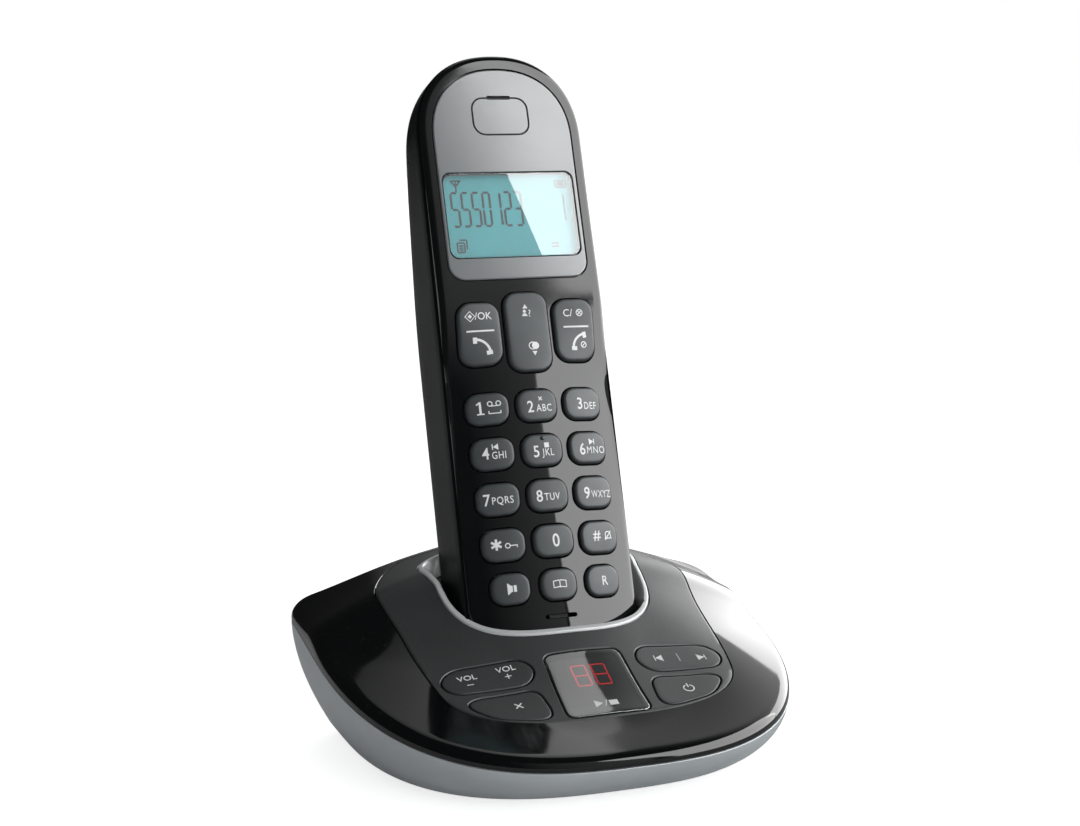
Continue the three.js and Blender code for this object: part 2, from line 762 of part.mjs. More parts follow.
// Lower case with its floor bosses, board standoffs, sockets' doorways and grille
function makeCase() {
  const outer = raised(baseOutline(), caseSteps, (x, y, t) =>
    caseSide(x, y, footProud + (seamHeight(y) - gap / 2 - footProud) * t));
  const inner = raised(baseOutline(caseWall), caseSteps, (x, y, t) =>
    caseSide(x, y, caseFloorTop + (seamHeight(y) + overrun - caseFloorTop) * t));
  let body = outer.subtract(inner);
  screwPlaces.forEach(([x, y]) => {
    body = body.add(rod(bossRadius, footProud + gap, caseFloorTop + bossFootHeight, x, y));
    body = body.subtract(rod(screwRadius + gap, 0, caseFloorTop + overrun, x, y));
    body = body.subtract(rod(screwHeadRadius + gap, 0, footProud + screwHeadRecess, x, y));
  });
  const cos = Math.cos(panelTilt);
  const boardUnderside = (y) =>
    panelTopZ + panelSlope * (y - panelTopY) + (baseBoardTop - boardThick - gap) / cos;
  [standoffFrontY, standoffBackY].forEach((y) => [-standoffX, standoffX].forEach((x) => {
    const post = new THREE.CylinderGeometry(standoffRadius, standoffRadius, 1, roundSides);
    post.rotateX(Math.PI / 2);
    reshape(post, (px, py, pz) => [x + px, y + py, pz > 0 ? boardUnderside(y + py) : caseFloorTop - gap]);
    body = body.add(solid(post));
  }));
  footPlaces.forEach(([x, y]) => {
    body = body.subtract(rod(footRadius + gap, 0, footProud + footPocket, x, y));
  });
  [-socketX, socketX].forEach((x) => {
    const half = socketWidth / 2 + gap;
    body = body.subtract(block(
      [x - half, socketFaceY - socketDepth, socketZ - socketHeight / 2 - gap],
      [x + half, baseBackY + overrun, socketZ + socketHeight / 2 + gap]));
  });
  for (let i = -1.5; i <= 1.5; i += 1) {
    const x = speakerX + i * grilleSlotPitch;
    body = body.subtract(block(
      [x - grilleSlotWidth / 2, speakerY - grilleSlotHalf, 0],
      [x + grilleSlotWidth / 2, speakerY + grilleSlotHalf, caseFloorTop + overrun]));
  }
  addPiece(machine, 'base_case', body, finishes.silverCase);
}

// Cover with the recess and the window for the control panel, the cradle's hole and its bosses
function makeCover() {
  const shell = prism(baseOutline(), -overrun, crestHeight + overrun)
    .intersect(terrain(baseHalfWidth + overrun, baseFrontY - overrun, baseBackY + overrun,
      (x, y) => seamHeight(y) + gap / 2, coverHeight));
  const hollow = through(baseOutline(coverWall)).intersect(below(coverWall));
  let body = shell.subtract(hollow);
  const roof = below(bossRoof);
  screwPlaces.forEach(([x, y]) => {
    const foot = caseFloorTop + bossFootHeight + gap;
    body = body.add(rod(bossRadius, foot, crestHeight, x, y).intersect(roof));
    const tip = footProud + screwHeadRecess - gap + screwLength + gap;
    body = body.subtract(rod(screwRadius + gap, -overrun, tip, x, y));
  });
  const recess = through(grow(panelOutline(), gap))
    .intersect(above((x, y) => coverHeight(x, y) - panelThick - gap));
  body = body.subtract(recess).subtract(through(grow(ringOutline(), gap)));
  Object.values(baseKeyOutlines).forEach((outline) => {
    body = body.subtract(squareToPanel(grow(outline, keyWindowMargin), overrun, -baseKeyThick - overrun));
  });
  addPiece(machine, 'base_cover', body, finishes.glossBlack);
}

// A prism on a base key's outline that runs square to the panel.
function squareToPanel(points, top, bottom) {
  return raised(points, 1, (x, y, t) => {
    const rise = bottom + (top - bottom) * t;
    return [x, y - Math.sin(panelTilt) * rise, coverHeight(x, y) + Math.cos(panelTilt) * rise];
  });
}

function makePanel() {
  let body = through(panelOutline()).intersect(layer(0, panelThick));
  body = body.subtract(through(grow(ringOutline(), gap)));
  Object.values(baseKeyOutlines).forEach((outline) => {
    body = body.subtract(squareToPanel(grow(outline, keyGap), overrun, -panelThick - overrun));
  });
  addPiece(machine, 'control_panel', body, finishes.panelBlack);
}

function makeBaseKeys() {
  Object.entries(baseKeyOutlines).forEach(([name, outline]) => {
    const finish = name === 'play_key' ? finishes.smokedLens : finishes.panelBlack;
    addPiece(machine, name, squareToPanel(outline, 0, -baseKeyThick), finish);
  });
}

const wellFloorZ = handsetBottom - wellFloorGap;
const wellHollow = leaningPrism(handsetSection(wellClearance), wellFloorZ, 0);

function makeCradle() {
  const outer = through(ringOutline()).intersect(layer(-ringProud, ringDepth));
  const funnelSlope = (ringFunnel - ringLip) / (ringProud + ringDepth);
  const funnel = raised(ringOutline(), 2, (x, y, t) => {
    const height = t > 0 ? ringProud : -ringDepth - overrun;
    const pull = ringLip + funnelSlope * (ringProud - height);
    const innerX = x * (1 - pull / ringHalfWidth);
    const innerY = ringMiddleY + (y - ringMiddleY) * (1 - pull / ringFrontDepth);
    return [innerX, innerY, t === 1 ? crestHeight + overrun : coverHeight(innerX, innerY) + height];
  });
  const ring = outer.subtract(through(ringOutline(ringFunnel))).subtract(funnel).subtract(wellHollow);
  addPiece(machine, 'cradle_ring', ring, finishes.brightSilver);

  const cup = leaningPrism(handsetSection(wellClearance + wellWall), wellFloorZ - wellWall, 0)
    .intersect(below(ringDepth + gap));
  const collar = through(grow(ringOutline(), wellCollar)).intersect(layer(coverWall + gap, wellCollarDepth));
  const ringSeat = through(grow(ringOutline(), gap))
    .intersect(above((x, y) => coverHeight(x, y) - ringDepth - gap));
  let body = cup.add(collar).subtract(ringSeat).subtract(wellHollow);
  [-contactX, contactX].forEach((x) => {
    const slot = rectangle(chargePinHalfWidth + gap, contactMiddleY - chargePinHalfDepth - gap,
      contactMiddleY + chargePinHalfDepth + gap, gap, x);
    body = body.subtract(leaningPrism(slot, wellFloorZ - wellWall - overrun, wellFloorZ + overrun));
  });
  addPiece(machine, 'cradle_well', body, finishes.satinBlack);
}

function makeBaseInside() {
  const length = displayKeyLength / Math.cos(panelTilt);
  const deckLow = -length;
  const deckHigh = -baseBoardTopSetback;
  const board = block([-baseBoardHalfWidth, deckLow, baseBoardTop - boardThick],
    [baseBoardHalfWidth, deckHigh, baseBoardTop]);
  addPiece(keyDeck, 'base_board', board, finishes.circuitGreen);

  const blockMiddle = -length / 2 + matPostHalf;
  let mat = block([-baseBoardHalfWidth, deckLow, keyMatBottom], [baseBoardHalfWidth, deckHigh, keyMatTop]);
  Object.entries(baseKeyOutlines).filter(([name]) => name !== 'play_key').forEach(([, outline]) => {
    const box = new THREE.Box2().setFromPoints(outline.map(([x, y]) => new THREE.Vector2(x, y)));
    const middle = box.getCenter(new THREE.Vector2());
    const along = (middle.y - panelTopY) / Math.cos(panelTilt);
    mat = mat.add(block([middle.x - matPostHalf, along - matPostHalf, keyMatTop - gap],
      [middle.x + matPostHalf, along + matPostHalf, keyUnderside(Math.abs(middle.x) + matPostHalf)]));
  });
  mat = mat.subtract(block(
    [-segmentBlockHalfWidth - gap, blockMiddle - segmentBlockHalfLength - gap, baseBoardTop],
    [segmentBlockHalfWidth + gap, blockMiddle + segmentBlockHalfLength + gap, 0]));
  addPiece(keyDeck, 'base_key_mat', mat, finishes.darkPart);
  addPiece(keyDeck, 'message_display', block(
    [-segmentBlockHalfWidth, blockMiddle - segmentBlockHalfLength, keyMatBottom],
    [segmentBlockHalfWidth, blockMiddle + segmentBlockHalfLength, keyUnderside(segmentBlockHalfWidth)]),
  finishes.redSegment);

  const speakerLow = caseFloorTop + gap;
  const speaker = rod(speakerRadius, speakerLow, speakerLow + speakerDepth, speakerX, speakerY);
  addPiece(machine, 'loudspeaker', speaker, finishes.darkPart);
  [['line_socket', -socketX], ['power_socket', socketX]].forEach(([name, x]) => {
    const shell = block([x - socketWidth / 2, socketFaceY - socketDepth, socketZ - socketHeight / 2],
      [x + socketWidth / 2, socketFaceY, socketZ + socketHeight / 2]);
    const mouth = block(
      [x - socketMouthWidth / 2, socketFaceY - socketMouthDepth, socketZ - socketMouthHeight / 2],
      [x + socketMouthWidth / 2, socketFaceY + overrun, socketZ + socketMouthHeight / 2]);
    addPiece(machine, name, shell.subtract(mouth), finishes.satinBlack);
  });
  [['left', -contactX], ['right', contactX]].forEach(([side, x]) => {
    const pin = rectangle(chargePinHalfWidth, contactMiddleY - chargePinHalfDepth,
      contactMiddleY + chargePinHalfDepth, gap, x);
    addPiece(machine, `charge_contact_${side}`,
      leaningPrism(pin, wellFloorZ - wellWall - chargePinDrop, handsetBottom - gap), finishes.contactMetal);
  });
}

function makeFeetAndScrews() {
  const cornerNames = ['front_left', 'front_right', 'back_left', 'back_right'];
  cornerNames.forEach((corner, i) => {
    const [footX, footY] = footPlaces[i];
    addPiece(machine, `foot_${corner}`, rod(footRadius, 0, footHeight, footX, footY), finishes.rubber);
    const [x, y] = screwPlaces[i];
    const top = footProud + screwHeadRecess - gap;
    const profile = [[0, top - screwHeadHeight], [screwHeadRadius, top - screwHeadHeight],
      [screwHeadRadius, top], [screwRadius, top], [screwRadius, top + screwLength - screwHeadHeight],
      [0, top + screwLength - screwHeadHeight]];
    const screw = new THREE.LatheGeometry(profile.map(([r, z]) => new THREE.Vector2(r, z)), roundSides);
    screw.rotateX(Math.PI / 2);
    screw.translate(x, y, 0);
    addPiece(machine, `case_screw_${corner}`, solid(screw), finishes.steel);
  });
}

// Handset keys: name, middle x, middle z, half width, half height, corner
function handsetKeys() {
  const keys = [];
  const rows = [['key_1', 'key_2', 'key_3'], ['key_4', 'key_5', 'key_6'], ['key_7', 'key_8', 'key_9'],
    ['key_star', 'key_0', 'key_hash']];
  rows.forEach((names, row) => names.forEach((name, column) => keys.push({
    name, x: (column - 1) * keyColumnPitch, z: firstKeyRow - row * keyRowPitch,
    halfWidth: keyHalfWidth, halfHeight: keyHalfHeight, corner: keyCorner,
  })));
  ['speaker_key', 'phonebook_key', 'recall_key'].forEach((name, column) => keys.push({
    name, x: (column - 1) * lastKeyPitch, z: lastKeyRow,
    halfWidth: lastKeyHalfWidth, halfHeight: lastKeyHalfHeight, corner: keyCorner,
  }));
  [['talk_key', -1], ['end_key', 1]].forEach(([name, side]) => keys.push({
    name, x: side * keyColumnPitch, z: tallKeyZ,
    halfWidth: tallKeyHalfWidth, halfHeight: tallKeyHalfHeight, corner: tallKeyCorner,
  }));
  keys.push({
    name: 'navigation_key', x: 0, z: tallKeyZ,
    halfWidth: rockerHalfWidth, halfHeight: rockerHalfHeight, corner: tallKeyCorner,
  });
  return keys;
}
const keyList = handsetKeys();
const keyOutline = ({ x, z, halfWidth, halfHeight, corner }) =>
  rectangle(halfWidth, z - halfHeight, z + halfHeight, corner, x);

function makeHandsetKeys() {
  keyList.forEach((key) => {
    const body = raised(keyOutline(key), 2, (x, z, t) => {
      const pull = t === 1 ? keyChamfer : 0;
      const across = key.x + (x - key.x) * (1 - pull / key.halfWidth);
      const along = key.z + (z - key.z) * (1 - pull / key.halfHeight);
      const face = frontDepthAt(across, along) - keyProud + (t === 1 ? 0 : keyChamfer);
      return [across, t === 0 ? keyDepth : face, along];
    });
    addPiece(handset, key.name, body, finishes.keyGrey);
  });
}

function faceplateOutline(inset = 0) {
  const half = faceplateHalfWidth - inset;
  const top = faceplateTop - inset;
  const bottom = faceplateBottom + inset;
  const corner = faceplateCorner - inset;
  const points = [[0, bottom]];
  for (let i = 0; i <= cornerSteps; i += 1) {
    const angle = (Math.PI / 2) * (i / cornerSteps);
    points.push([half - corner + corner * Math.sin(angle), bottom + corner - corner * Math.cos(angle)]);
  }
  for (let i = 0; i <= archSteps; i += 1) {
    const angle = (Math.PI / 2) * (i / archSteps);
    const across = i === archSteps ? 0 : Math.cos(angle) ** (2 / archSquareness);
    points.push([half * across, archStart + (top - archStart) * Math.sin(angle) ** (2 / archSquareness)]);
  }
  return mirrored(points);
}

const windowOutline = (inset = 0) =>
  rectangle(windowHalfWidth - inset, windowBottom + inset, windowTop - inset, windowCorner);
const earSlotZ = earpieceZ + earSlotRise;
const earSlot = (margin) => rectangle(earSlotHalfWidth + margin,
  earSlotZ - earSlotHeight / 2 - margin, earSlotZ + earSlotHeight / 2 + margin, earSlotHeight / 2);
const faceplateSeat = faceplateThick + gap;
const faceplateFloorBack = faceplateSeat + faceplateFloor;
const matFront = keyDepth + keyTravel + gap;
const handsetBoardFront = matFront + keypadMatThick + gap;

function makeHandsetFront() {
  let body = frontBody(0, -gap / 2).subtract(frontBody(handsetWall, overrun));
  body = body.add(slab(faceplateOutline(-gap), faceplateFloorBack, handsetWall / 2));
  body = body.subtract(slab(faceplateOutline(-gap), faceplateSeat, -overrun));
  const behindSeam = handsetSeamDepth(handsetBottom) + overrun;
  body = body.subtract(slab(windowOutline(lcdLedge), behindSeam, 0));
  body = body.subtract(slab(earSlot(gap), behindSeam, 0));
  keyList.forEach((key) => {
    body = body.subtract(slab(grow(keyOutline(key), keyGap), behindSeam, -overrun));
  });
  const mic = rectangle(
    micHoleHalfWidth, micZ - micHoleHalfHeight, micZ + micHoleHalfHeight, micHoleHalfHeight);
  body = body.subtract(slab(mic, handsetWall + overrun, -overrun));
  addPiece(handset, 'handset_front', body, finishes.glossBlack);

  const plate = slab(faceplateOutline(), faceplateThick, 0)
    .subtract(slab(windowOutline(-gap), faceplateThick + overrun, -overrun))
    .subtract(slab(earSlot(0), faceplateThick + overrun, -overrun));
  addPiece(handset, 'faceplate', plate, finishes.faceSilver);
  addPiece(handset, 'display_window', slab(windowOutline(), windowSink + windowThick, windowSink),
    finishes.clearWindow);
}

const bayTop = bayBottom + batteryLength + terminalThick + 3 * gap;
const doorInner = (z) => rearDepth(z) - doorThick;
const batteryY = doorInner(bayTop) - gap - batteryRadius;
const bayFloorY = batteryY - batteryRadius - gap;
const doorOutline = (margin) => rectangle(
  doorHalfWidth + margin, bayBottom - doorMargin - margin, bayTop + doorMargin + margin, bayWall);

function makeHandsetRear() {
  let body = rearBody(0, gap / 2).subtract(rearBody(handsetWall, -overrun));
  const bay = block([-bayHalfWidth - bayWall, bayFloorY - bayWall, bayBottom - bayWall],
    [bayHalfWidth + bayWall, rearBottomDepth, bayTop + bayWall]);
  const frame = raised(doorOutline(gap + bayWall), 1, (x, z, t) =>
    [x, t > 0 ? doorInner(z) - gap - bayWall : rearDepth(z) - gap, z]);
  body = body.add(bay.add(frame).intersect(rearBody(gap, gap)));
  body = body.subtract(block([-bayHalfWidth, bayFloorY, bayBottom],
    [bayHalfWidth, rearBottomDepth + overrun, bayTop]));
  body = body.subtract(raised(doorOutline(gap), 1, (x, z, t) =>
    [x, t > 0 ? doorInner(z) - gap : rearDepth(z) + overrun, z]));
  [-contactX, contactX].forEach((x) => {
    const half = contactHalfWidth + gap;
    body = body.subtract(block([x - half, contactMiddleY - contactHalfDepth - gap, handsetBottom - overrun],
      [x + half, contactMiddleY + contactHalfDepth + gap, handsetBottom + contactThick + gap]));
  });
  addPiece(handset, 'handset_rear', body, finishes.satinBlack);

  const door = raised(doorOutline(0), 1, (x, z, t) => [x, t > 0 ? doorInner(z) : rearDepth(z), z]);
  addPiece(handset, 'battery_door', door, finishes.satinBlack);
}

function makeHandsetInside() {
  [['left', -1], ['right', 1]].forEach(([side, sign]) => {
    const x = (sign * batteryPitch) / 2;
    const cell = new THREE.CylinderGeometry(batteryRadius, batteryRadius, batteryLength, roundSides);
    cell.rotateX(Math.PI / 2);
    cell.translate(x, batteryY, bayBottom + terminalThick + 2 * gap + batteryLength / 2);
    addPiece(handset, `battery_${side}`, solid(cell), finishes.cellGreen);
    const terminal = block([x - terminalHalf, batteryY - terminalHalf, bayBottom + gap],
      [x + terminalHalf, batteryY + terminalHalf, bayBottom + gap + terminalThick]);
    addPiece(handset, `battery_contact_${side}`, terminal, finishes.steel);
    const plate = sign * contactX;
    addPiece(handset, `handset_contact_${side}`, block(
      [plate - contactHalfWidth, contactMiddleY - contactHalfDepth, handsetBottom],
      [plate + contactHalfWidth, contactMiddleY + contactHalfDepth, handsetBottom + contactThick]),
    finishes.contactMetal);
  });
  const mat = block([-keypadMatHalfWidth, matFront, keypadMatBottom],
    [keypadMatHalfWidth, matFront + keypadMatThick, keypadMatTop]);
  addPiece(handset, 'keypad_mat', mat, finishes.darkPart);
  const board = block([-handsetBoardHalfWidth, handsetBoardFront, handsetBoardBottom],
    [handsetBoardHalfWidth, handsetBoardFront + boardThick, handsetTop - handsetBoardTopMargin]);
  addPiece(handset, 'handset_board', board, finishes.circuitGreen);
  const lcd = block([-windowHalfWidth - lcdMargin, faceplateFloorBack + gap, windowBottom - lcdMargin],
    [windowHalfWidth + lcdMargin, handsetBoardFront - gap, windowTop + lcdMargin]);
  addPiece(handset, 'lcd_module', lcd, finishes.lcdTeal);
  const earFront = faceplateFloorBack + gap;
  addPiece(handset, 'earpiece', rodAlongY(earpieceRadius, earFront, earFront + earpieceThick, 0, earpieceZ),
    finishes.darkPart);
  const microphone = rodAlongY(micRadius, handsetWall + gap, handsetBoardFront - gap, 0, micZ);
  addPiece(handset, 'microphone', microphone, finishes.darkPart);
}

makeCase();
makeCover();
makePanel();
makeBaseKeys();
makeCradle();
makeBaseInside();
makeFeetAndScrews();
makeHandsetFront();
makeHandsetRear();
makeHandsetKeys();
makeHandsetInside();

// The origin is the middle of the machine's footprint, on the surface that it stands on.
machine.updateMatrixWorld(true);
const extent = new THREE.Box3().setFromObject(machine, true);
const middle = extent.getCenter(new THREE.Vector3());
machine.position.set(-middle.x, -middle.y, -extent.min.z);

export default machine;
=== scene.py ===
"""Looks of a cordless telephone that stands in its answering-machine base.

Sizes are in millimetres and angles in degrees. They become metres when a piece is placed.
The base is modelled with the middle of its cradle on x = 0 and z = 0 on the table, front towards -Y.
The handset has its own frame: z runs up its length and y = 0 is its front face.
A spot is a point of an outline's own plane: x and y on the base, x and z on the handset.
"""

from __future__ import annotations

import json
import logging
import math
from bisect import bisect_right
from collections.abc import Callable, Iterable, Sequence
from dataclasses import dataclass, field
from enum import Enum
from itertools import pairwise
from typing import TypeVar

import bmesh
import bpy
from mathutils import Matrix, Vector
from mathutils.geometry import interpolate_bezier

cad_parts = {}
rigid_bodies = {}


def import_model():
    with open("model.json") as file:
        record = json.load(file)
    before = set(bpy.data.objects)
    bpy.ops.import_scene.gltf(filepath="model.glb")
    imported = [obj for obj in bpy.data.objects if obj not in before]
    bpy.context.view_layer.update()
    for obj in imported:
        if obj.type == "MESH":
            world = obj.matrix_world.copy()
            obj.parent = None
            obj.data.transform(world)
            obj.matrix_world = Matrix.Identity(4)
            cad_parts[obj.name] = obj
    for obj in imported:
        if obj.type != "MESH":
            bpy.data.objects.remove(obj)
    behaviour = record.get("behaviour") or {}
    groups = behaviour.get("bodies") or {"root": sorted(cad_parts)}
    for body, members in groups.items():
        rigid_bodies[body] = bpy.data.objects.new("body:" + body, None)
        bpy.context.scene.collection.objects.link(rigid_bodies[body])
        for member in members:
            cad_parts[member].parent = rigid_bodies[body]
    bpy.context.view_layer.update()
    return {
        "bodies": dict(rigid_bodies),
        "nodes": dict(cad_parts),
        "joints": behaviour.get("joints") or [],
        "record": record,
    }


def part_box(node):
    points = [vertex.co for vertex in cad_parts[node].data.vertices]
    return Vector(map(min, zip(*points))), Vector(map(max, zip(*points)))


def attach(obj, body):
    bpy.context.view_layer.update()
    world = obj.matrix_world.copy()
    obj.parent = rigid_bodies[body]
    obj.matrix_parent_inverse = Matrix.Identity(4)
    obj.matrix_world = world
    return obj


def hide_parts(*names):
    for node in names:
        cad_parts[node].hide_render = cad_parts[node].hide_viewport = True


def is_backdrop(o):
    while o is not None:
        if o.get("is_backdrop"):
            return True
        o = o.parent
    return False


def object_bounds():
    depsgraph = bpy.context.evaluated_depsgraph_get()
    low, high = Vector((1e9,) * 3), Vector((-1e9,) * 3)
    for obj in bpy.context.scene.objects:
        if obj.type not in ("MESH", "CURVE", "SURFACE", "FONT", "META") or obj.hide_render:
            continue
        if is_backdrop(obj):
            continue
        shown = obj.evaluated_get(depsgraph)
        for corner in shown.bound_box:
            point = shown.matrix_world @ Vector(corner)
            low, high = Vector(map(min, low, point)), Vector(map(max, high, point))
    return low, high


log = logging.getLogger("answering_machine")

MILLIMETRE = 0.001
WELD = 0.004
CREASE = math.radians(38)
FLAT_CREASE = math.radians(25)
ROUND_STEPS = 6
HOLE_TURNS = 48
BISECTIONS = 14
OVERRUN = 2.0
FINE_GAP = 0.3
KEY_GAP = 0.35

Skin = bmesh.types.BMesh
Socket = bpy.types.NodeSocket
Ring = Callable[[float], Vector]
Surface = Callable[[Vector], float]
Lay = Callable[[Vector, float], Vector]
Amount = TypeVar("Amount", float, Vector)


# Small sums


def clamp(value: float, low: float = 0.0, high: float = 1.0) -> float:
    """Hold a value between two limits."""
    return min(max(value, low), high)


def mix(start: Amount, end: Amount, share: float) -> Amount:
    """Find what lies a share of the way from one number or point to another."""
    return start + (end - start) * share


def smooth_min(first: float, second: float, reach: float) -> float:
    """Take the lower of two heights, with a soft valley where they meet."""
    share = clamp(0.5 + 0.5 * (second - first) / reach)
    return mix(second, first, share) - reach * share * (1 - share)


def smooth_max(first: float, second: float, reach: float) -> float:
    """Take the higher of two heights, with a soft ridge where they meet."""
    return -smooth_min(-first, -second, reach)


def smooth_step(share: float) -> float:
    """Ease a share in and out."""
    held = clamp(share)
    return held * held * (3 - 2 * held)


def shares(steps: int) -> list[float]:
    """List evenly spaced shares from 0 to 1."""
    return [step / steps for step in range(steps + 1)]


def rounding(radius: float, steps: int) -> list[tuple[float, float]]:
    """List the points of a quarter round by their distances from its two flats.

    They run from one flat to the other.
    """
    angles = [share * math.pi / 2 for share in shares(steps)]
    return [(radius * (1 - math.cos(angle)), radius * (1 - math.sin(angle))) for angle in angles]


def quarter(power: float, steps: int) -> list[Vector]:
    """Trace a quarter of a squared circle of radius 1.

    Args:
        power: How square it is, 2 for a round one.
        steps: Number of steps along it.

    Returns:
        Points from (0, 1) to (1, 0).
    """
    angles = [share * math.pi / 2 for share in shares(steps)]
    return [Vector((math.sin(a) ** (2 / power), max(math.cos(a), 0.0) ** (2 / power))) for a in angles]


# Outlines


def mirrored(half: Sequence[Vector]) -> list[Vector]:
    """Complete an outline whose right half runs from its near middle to its far middle."""
    return [*half, *flipped([point for point in half if point.x > WELD])]


def flipped(points: Sequence[Vector]) -> list[Vector]:
    """Mirror an outline from one side of the middle plane to the other."""
    return [Vector((-point.x, point.y)) for point in reversed(points)]


def line_to(points: Sequence[Vector], end: Sequence[float], steps: int) -> list[Vector]:
    """List the points of a straight line that goes on from the last of some points."""
    return [mix(points[-1], Vector(end), share) for share in shares(steps)[1:]]


def box_outline(
    half_width: float, half_height: float, corner: float, middle: tuple[float, float] = (0.0, 0.0)
) -> list[Vector]:
    """Trace a rectangle with round corners.

    Args:
        half_width: Half of its width.
        half_height: Half of its height.
        corner: Radius of its corners.
        middle: Where its middle lies.

    Returns:
        The outline, counterclockwise.
    """
    low, high = middle[1] - half_height, middle[1] + half_height
    run = half_width - corner
    arc = quarter(2, ROUND_STEPS)
    lower = [Vector((run, low + corner)) + Vector((point.x, -point.y)) * corner for point in arc]
    upper = [Vector((run, high - corner)) + Vector((point.y, point.x)) * corner for point in arc]
    whole = mirrored([Vector((0.0, low)), *lower, *upper, Vector((0.0, high))])
    return [point + Vector((middle[0], 0.0)) for point in whole]


def rounded(corners: Sequence[Vector], reach: float, pull: float = 2 / 3) -> list[Vector]:
    """Round the corners of a polygon.

    Args:
        corners: Its corners, counterclockwise.
        reach: How far from each corner the rounding starts.
        pull: How far towards the corner the rounding is drawn, as a share.

    Returns:
        The rounded outline.
    """
    traced = []
    for index, corner in enumerate(corners):
        before = corners[index - 1] - corner
        after = corners[(index + 1) % len(corners)] - corner
        start = corner + before * min(reach / before.length, 0.5)
        end = corner + after * min(reach / after.length, 0.5)
        handles = mix(start, corner, pull), mix(end, corner, pull)
        traced += interpolate_bezier(start, *handles, end, 2 * ROUND_STEPS)
    return traced


def spline_through(points: Sequence[Vector], steps: int) -> list[Vector]:
    """Trace one smooth curve through points.

    Args:
        points: The points.
        steps: Number of steps between each two.

    Returns:
        The curve's points.
    """
    traced = []
    for index, (start, end) in enumerate(pairwise(points)):
        before = points[max(index - 1, 0)]
        after = points[min(index + 2, len(points) - 1)]
        handles = start + (end - before) / 6, end - (after - start) / 6
        traced += interpolate_bezier(start, *handles, end, steps)[:-1]
    return [*traced, points[-1]]


class Loop:
    """A closed outline whose points are found by their heading about its middle.

    A heading is 0 where the outline crosses downwards and grows towards the right, in the
    outline's own plane.
    """

    def __init__(self, points: Sequence[Vector], middle: Vector | None = None) -> None:
        """Measure an outline.

        Args:
            points: The outline, counterclockwise.
            middle: The spot that headings are taken from, if it isn't the mean of the points.
        """
        self.middle = sum(points, Vector((0.0, 0.0))) / len(points) if middle is None else middle
        facts = []
        for index, point in enumerate(points):
            ahead = points[(index + 1) % len(points)] - points[index - 1]
            offset = point - self.middle
            heading = math.atan2(offset.x, -offset.y) % math.tau
            facts.append((heading, point, Vector((ahead.y, -ahead.x)).normalized()))
        facts.sort(key=lambda fact: fact[0])
        self.headings, self.points, self.outwards = zip(*facts, strict=True)

    def at(self, heading: float, inset: float = 0.0) -> Vector:
        """Find a spot of the outline.

        Args:
            heading: Its heading in radians.
            inset: How far it is drawn inwards, square to the outline.

        Returns:
            The spot.
        """
        index = bisect_right(self.headings, heading) % len(self.headings)
        span = (self.headings[index] - self.headings[index - 1]) % math.tau
        share = ((heading - self.headings[index - 1]) % math.tau) / span if span else 0.0
        spot = mix(self.points[index - 1], self.points[index], share)
        return spot - mix(self.outwards[index - 1], self.outwards[index], share).normalized() * inset

    def even(self, count: int) -> list[float]:
        """Choose headings whose spots lie evenly along the outline.

        Args:
            count: Number of headings.

        Returns:
            The headings, counterclockwise.
        """
        ends = [*self.points[1:], self.points[0]]
        lengths = [(end - start).length for start, end in zip(self.points, ends, strict=True)]
        step = sum(lengths) / count
        chosen, walked, target = [], 0.0, 0.0
        for index, length in enumerate(lengths):
            span = (self.headings[(index + 1) % len(lengths)] - self.headings[index]) % math.tau
            while target < walked + length - WELD * step and len(chosen) < count:
                chosen.append((self.headings[index] + span * (target - walked) / length) % math.tau)
                target += step
            walked += length
        return chosen


# Skins


def raised(spot: Vector, height: float) -> Vector:
    """Place a spot of the base at a height."""
    return Vector((spot.x, spot.y, height))


def sunk(spot: Vector, depth: float) -> Vector:
    """Place a spot of the handset at a depth behind its front."""
    return Vector((spot.x, depth, spot.y))


def shifted(surface: Surface, rise: float) -> Surface:
    """Shift a surface by a distance."""
    return lambda spot: surface(spot) + rise


def loft(headings: Sequence[float], rings: Sequence[Ring]) -> Skin:
    """Draw a closed row of vertices through rings.

    Args:
        headings: The heading of each vertex in a row.
        rings: For each row, the rule that places a heading.

    Returns:
        The skin between the first row and the last.
    """
    skin = bmesh.new()
    layer = skin.verts.layers.float.new("heading")
    bmesh.ops.create_circle(skin, segments=len(headings), radius=1.0)
    for vert, heading in zip(skin.verts, headings, strict=True):
        vert[layer] = heading
        vert.co = rings[0](heading)
    row = skin.edges[:]
    for ring in rings[1:]:
        grown = bmesh.ops.extrude_edge_only(skin, edges=row)["geom"]
        fresh = {part for part in grown if isinstance(part, bmesh.types.BMVert)}
        for vert in fresh:
            vert.co = ring(vert[layer])
        edges = [part for part in grown if isinstance(part, bmesh.types.BMEdge)]
        row = [edge for edge in edges if fresh.issuperset(edge.verts)]
    return skin


def closed(skin: Skin) -> Skin:
    """Weld a skin's seams, fill its open ends and turn its faces outwards.

    Args:
        skin: The skin, which is changed.

    Returns:
        The same skin, closed.
    """
    bmesh.ops.remove_doubles(skin, verts=skin.verts, dist=WELD)
    rims = [edge for edge in skin.edges if edge.is_boundary]
    if rims:
        bmesh.ops.holes_fill(skin, edges=rims, sides=0)
    bmesh.ops.recalc_face_normals(skin, faces=skin.faces)
    return skin


